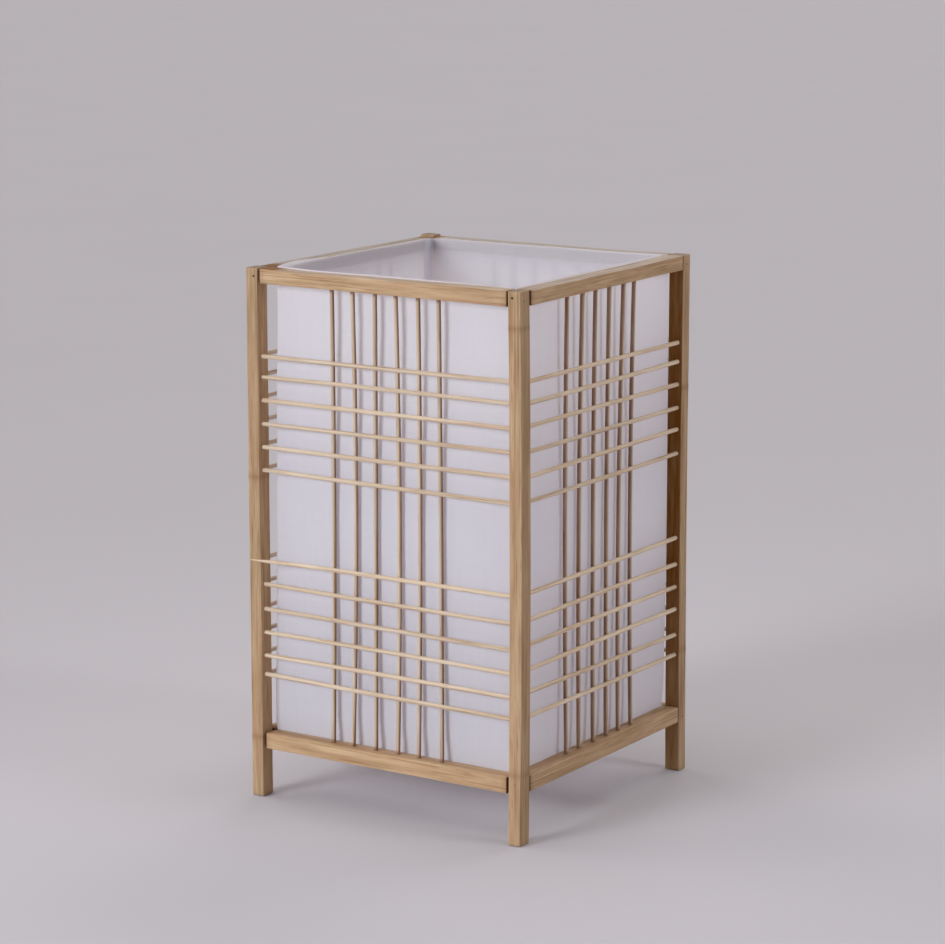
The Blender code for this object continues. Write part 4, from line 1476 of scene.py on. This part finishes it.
shell_profile = [(shell - MM, high.z), (shell - SMALL_EDGE, high.z - SMALL_EDGE)]
shell_profile += stacked(shell, low.z, high.z - MM, SHELL_STEPS)
shell_profile += [(shell - SHELL_WALL, low.z), (shell - SHELL_WALL, high.z - SHELL_LIP)]
shell_profile += [(bore, high.z - SHELL_LIP), (bore, high.z)]
turned_piece(
    "ribbed_shell", shell_profile, white_plastic, "lamp", "white_plastic", "holder_shell", 160, shell_grip
)

base_low, base_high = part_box("holder_base")
base = base_high.x
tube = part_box("threaded_tube")[1].x + TUBE_PLAY
rim = base_high.z - CUP_RIM
cone = []
for i in range(CONE_STEPS + 1):
    t = i / CONE_STEPS
    drop = (rim - base_low.z - BOSS_TALL) * math.sin(t * math.pi / 2)
    cone.append((base + (BOSS - base) * t, rim - drop))
base_profile = [(base - SMALL_EDGE, base_high.z), (base, base_high.z - SMALL_EDGE)] + cone
base_profile += [(BOSS, base_low.z + SMALL_EDGE), (BOSS - SMALL_EDGE, base_low.z), (tube, base_low.z)]
base_profile += [(tube, base_low.z + CUP_FLOOR), (base - CUP_LOW_WALL, rim + CUP_RISE)]
base_profile.append((base - CUP_WALL, base_high.z))
turned_piece("cup_base", base_profile, white_plastic, "lamp", "white_plastic", "holder_base")

bush_low, bush_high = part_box("cord_bush")
bush = bush_high.x
bush_profile = [(bush - BUSH_EDGE, bush_high.z), (bush, bush_high.z - BUSH_EDGE)]
for i in range(BUSH_STEPS + 1):
    a = math.pi / 2 * i / BUSH_STEPS
    round_in, round_up = BUSH_ROUND * (1 - math.cos(a)), BUSH_ROUND * (1 - math.sin(a))
    bush_profile.append((bush - round_in, bush_low.z + round_up))
bush_profile += [(CORD_MOUTH, bush_low.z), (CORD_HOLE, bush_low.z + BUSH_EDGE)]
bush_profile += [(CORD_HOLE, bush_low.z + BUSH_ROUND), (tube, bush_low.z + BUSH_ROUND), (tube, bush_high.z)]
turned_piece("round_bush", bush_profile, black_plastic, "lamp", "black_plastic", "cord_bush")
print("shell, base and bush, mm across:", [round(2 * radius / MM, 1) for radius in (shell, base, bush)])

# %% [markdown]
# ## Pieces that keep their CAD shape
#
# The rest of the holder and bulb keeps its CAD shape: tube, washer, nut, core, contacts, light board and the
# two nails of the bar. They hardly show, so making them again would add nothing. Each takes the finish of its
# material slot.

# %% Pieces that keep their CAD shape
kept = {
    "threaded_tube": steel, "lock_washer": steel, "lock_nut": steel, "holder_core": ceramic,
    "centre_contact": brass, "screw_shell": brass, "bulb_tip": steel, "bulb_insulator": black_plastic,
    "light_board": ceramic, "bar_nail_left": dark_steel, "bar_nail_right": dark_steel,
}
for name, finish in kept.items():
    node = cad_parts[name]
    node.data.materials.clear()
    node.data.materials.append(finish)
shown = [name for name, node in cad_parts.items() if not node.hide_render]
print("CAD nodes still showing:", sorted(shown))

# %% [markdown]
# ## Floor and light
#
# The lamp stands on a plain pale floor. It could be a curved backdrop, but a flat floor that reaches far away
# looks the same from every side.

# %% Floor
FLOOR_REACH = 40.0
FLOOR_DROP = 0.0004

floor_mesh = bpy.data.meshes.new("floor")
floor_corners = [(x * FLOOR_REACH, y * FLOOR_REACH, 0) for x, y in ((-1, -1), (1, -1), (1, 1), (-1, 1))]
floor_mesh.from_pydata(floor_corners, [], [(0, 1, 2, 3)])
pale, tree, surface = new_finish("pale_floor")
place = put(tree, "ShaderNodeTexCoord").outputs["Object"]
patch = spread(tree, drawn_noise(tree, place, (3.0, 3.0, 3.0), 2.0), 0.2, 0.8)
feed(tree, surface.inputs["Base Color"], mix(tree, patch, (0.590, 0.572, 0.625, 1), (0.577, 0.559, 0.611, 1)))
surface.inputs["Roughness"].default_value = 0.85
surface.inputs["Specular IOR Level"].default_value = 0.2
floor = add_piece("floor", floor_mesh, pale)
floor.location.z = -FLOOR_DROP
print(floor.name, "reaches", FLOOR_REACH, "m")

# %% [markdown]
# The main lamp is near, low and a little to the left of the front, so it puts the sticks' shadows on the
# cloth just behind them. A weaker and warmer one does the same on the right. Each of the two has a broad
# light behind it, from the same direction, which is as strong at the bottom of the lamp as at its top. Three
# more broad lights come from behind, from the left and from above: the first two shine through the cloth, and
# the last fills the floor. One lamp alone could light the front, but a near lamp fades too fast towards the
# bottom, and a far one can't make the shadows spread.

# %% Light
MIDDLE = Vector((0, 0, 0.19))
LOW_AIM = Vector((0, 0, 0.10))
LAMP_SPREAD = math.radians(80)
BROAD_DISTANCE = 3
COOL = (0.950, 0.984, 1.0)
CREAM = (1.0, 0.990, 0.955)
WARM = (1.0, 0.93, 0.87)


def aim_lamp(name, data, place, target):
    """Puts a lamp somewhere, aimed at a point."""
    made = bpy.data.objects.new(name, data)
    made.location = place
    made.rotation_euler = (place - target).to_track_quat("Z", "Y").to_euler()
    bpy.context.scene.collection.objects.link(made)


def near_lamp(name, azimuth, distance, height, size, power, colour):
    """A square lamp. Azimuth 0 is in front, and 90 is on the right.

    A grid narrows its light, so that the floor below it isn't brighter than the rest.
    """
    data = bpy.data.lights.new(name, "AREA")
    data.size = size
    data.spread = LAMP_SPREAD
    data.energy = power
    data.color = colour
    turn = math.radians(azimuth)
    place = Vector((math.sin(turn) * distance, -math.cos(turn) * distance, height))
    aim_lamp(name, data, place, LOW_AIM)


def broad_light(name, azimuth, elevation, width, strength, colour):
    """An even light from far away, soft because it is so many degrees wide."""
    data = bpy.data.lights.new(name, "SUN")
    data.energy = strength
    data.angle = math.radians(width)
    data.color = colour
    turn, lift = math.radians(azimuth), math.radians(elevation)
    towards = Vector((math.sin(turn) * math.cos(lift), -math.cos(turn) * math.cos(lift), math.sin(lift)))
    aim_lamp(name, data, MIDDLE + BROAD_DISTANCE * towards, MIDDLE)


near_lamp("key", -17, distance=1.35, height=0.57, size=0.52, power=1.151, colour=COOL)
broad_light("key_far", -17, elevation=15, width=22, strength=0.949, colour=COOL)
near_lamp("side", 98, distance=1.25, height=0.63, size=0.40, power=0.473, colour=CREAM)
broad_light("side_far", 98, elevation=18, width=18, strength=0.315, colour=CREAM)
broad_light("behind", 180, elevation=28, width=60, strength=1.05, colour=WARM)
broad_light("left", 275, elevation=28, width=60, strength=0.85, colour=WARM)
broad_light("above", -20, elevation=80, width=60, strength=0.85, colour=(1.0, 0.96, 0.92))
world = bpy.data.worlds.new("even_light")
world.use_nodes = True
world.node_tree.nodes["Background"].inputs["Color"].default_value = (0.97, 0.97, 1.0, 1)
world.node_tree.nodes["Background"].inputs["Strength"].default_value = 0.14
bpy.context.scene.world = world
print("lights:", len(bpy.data.lights))
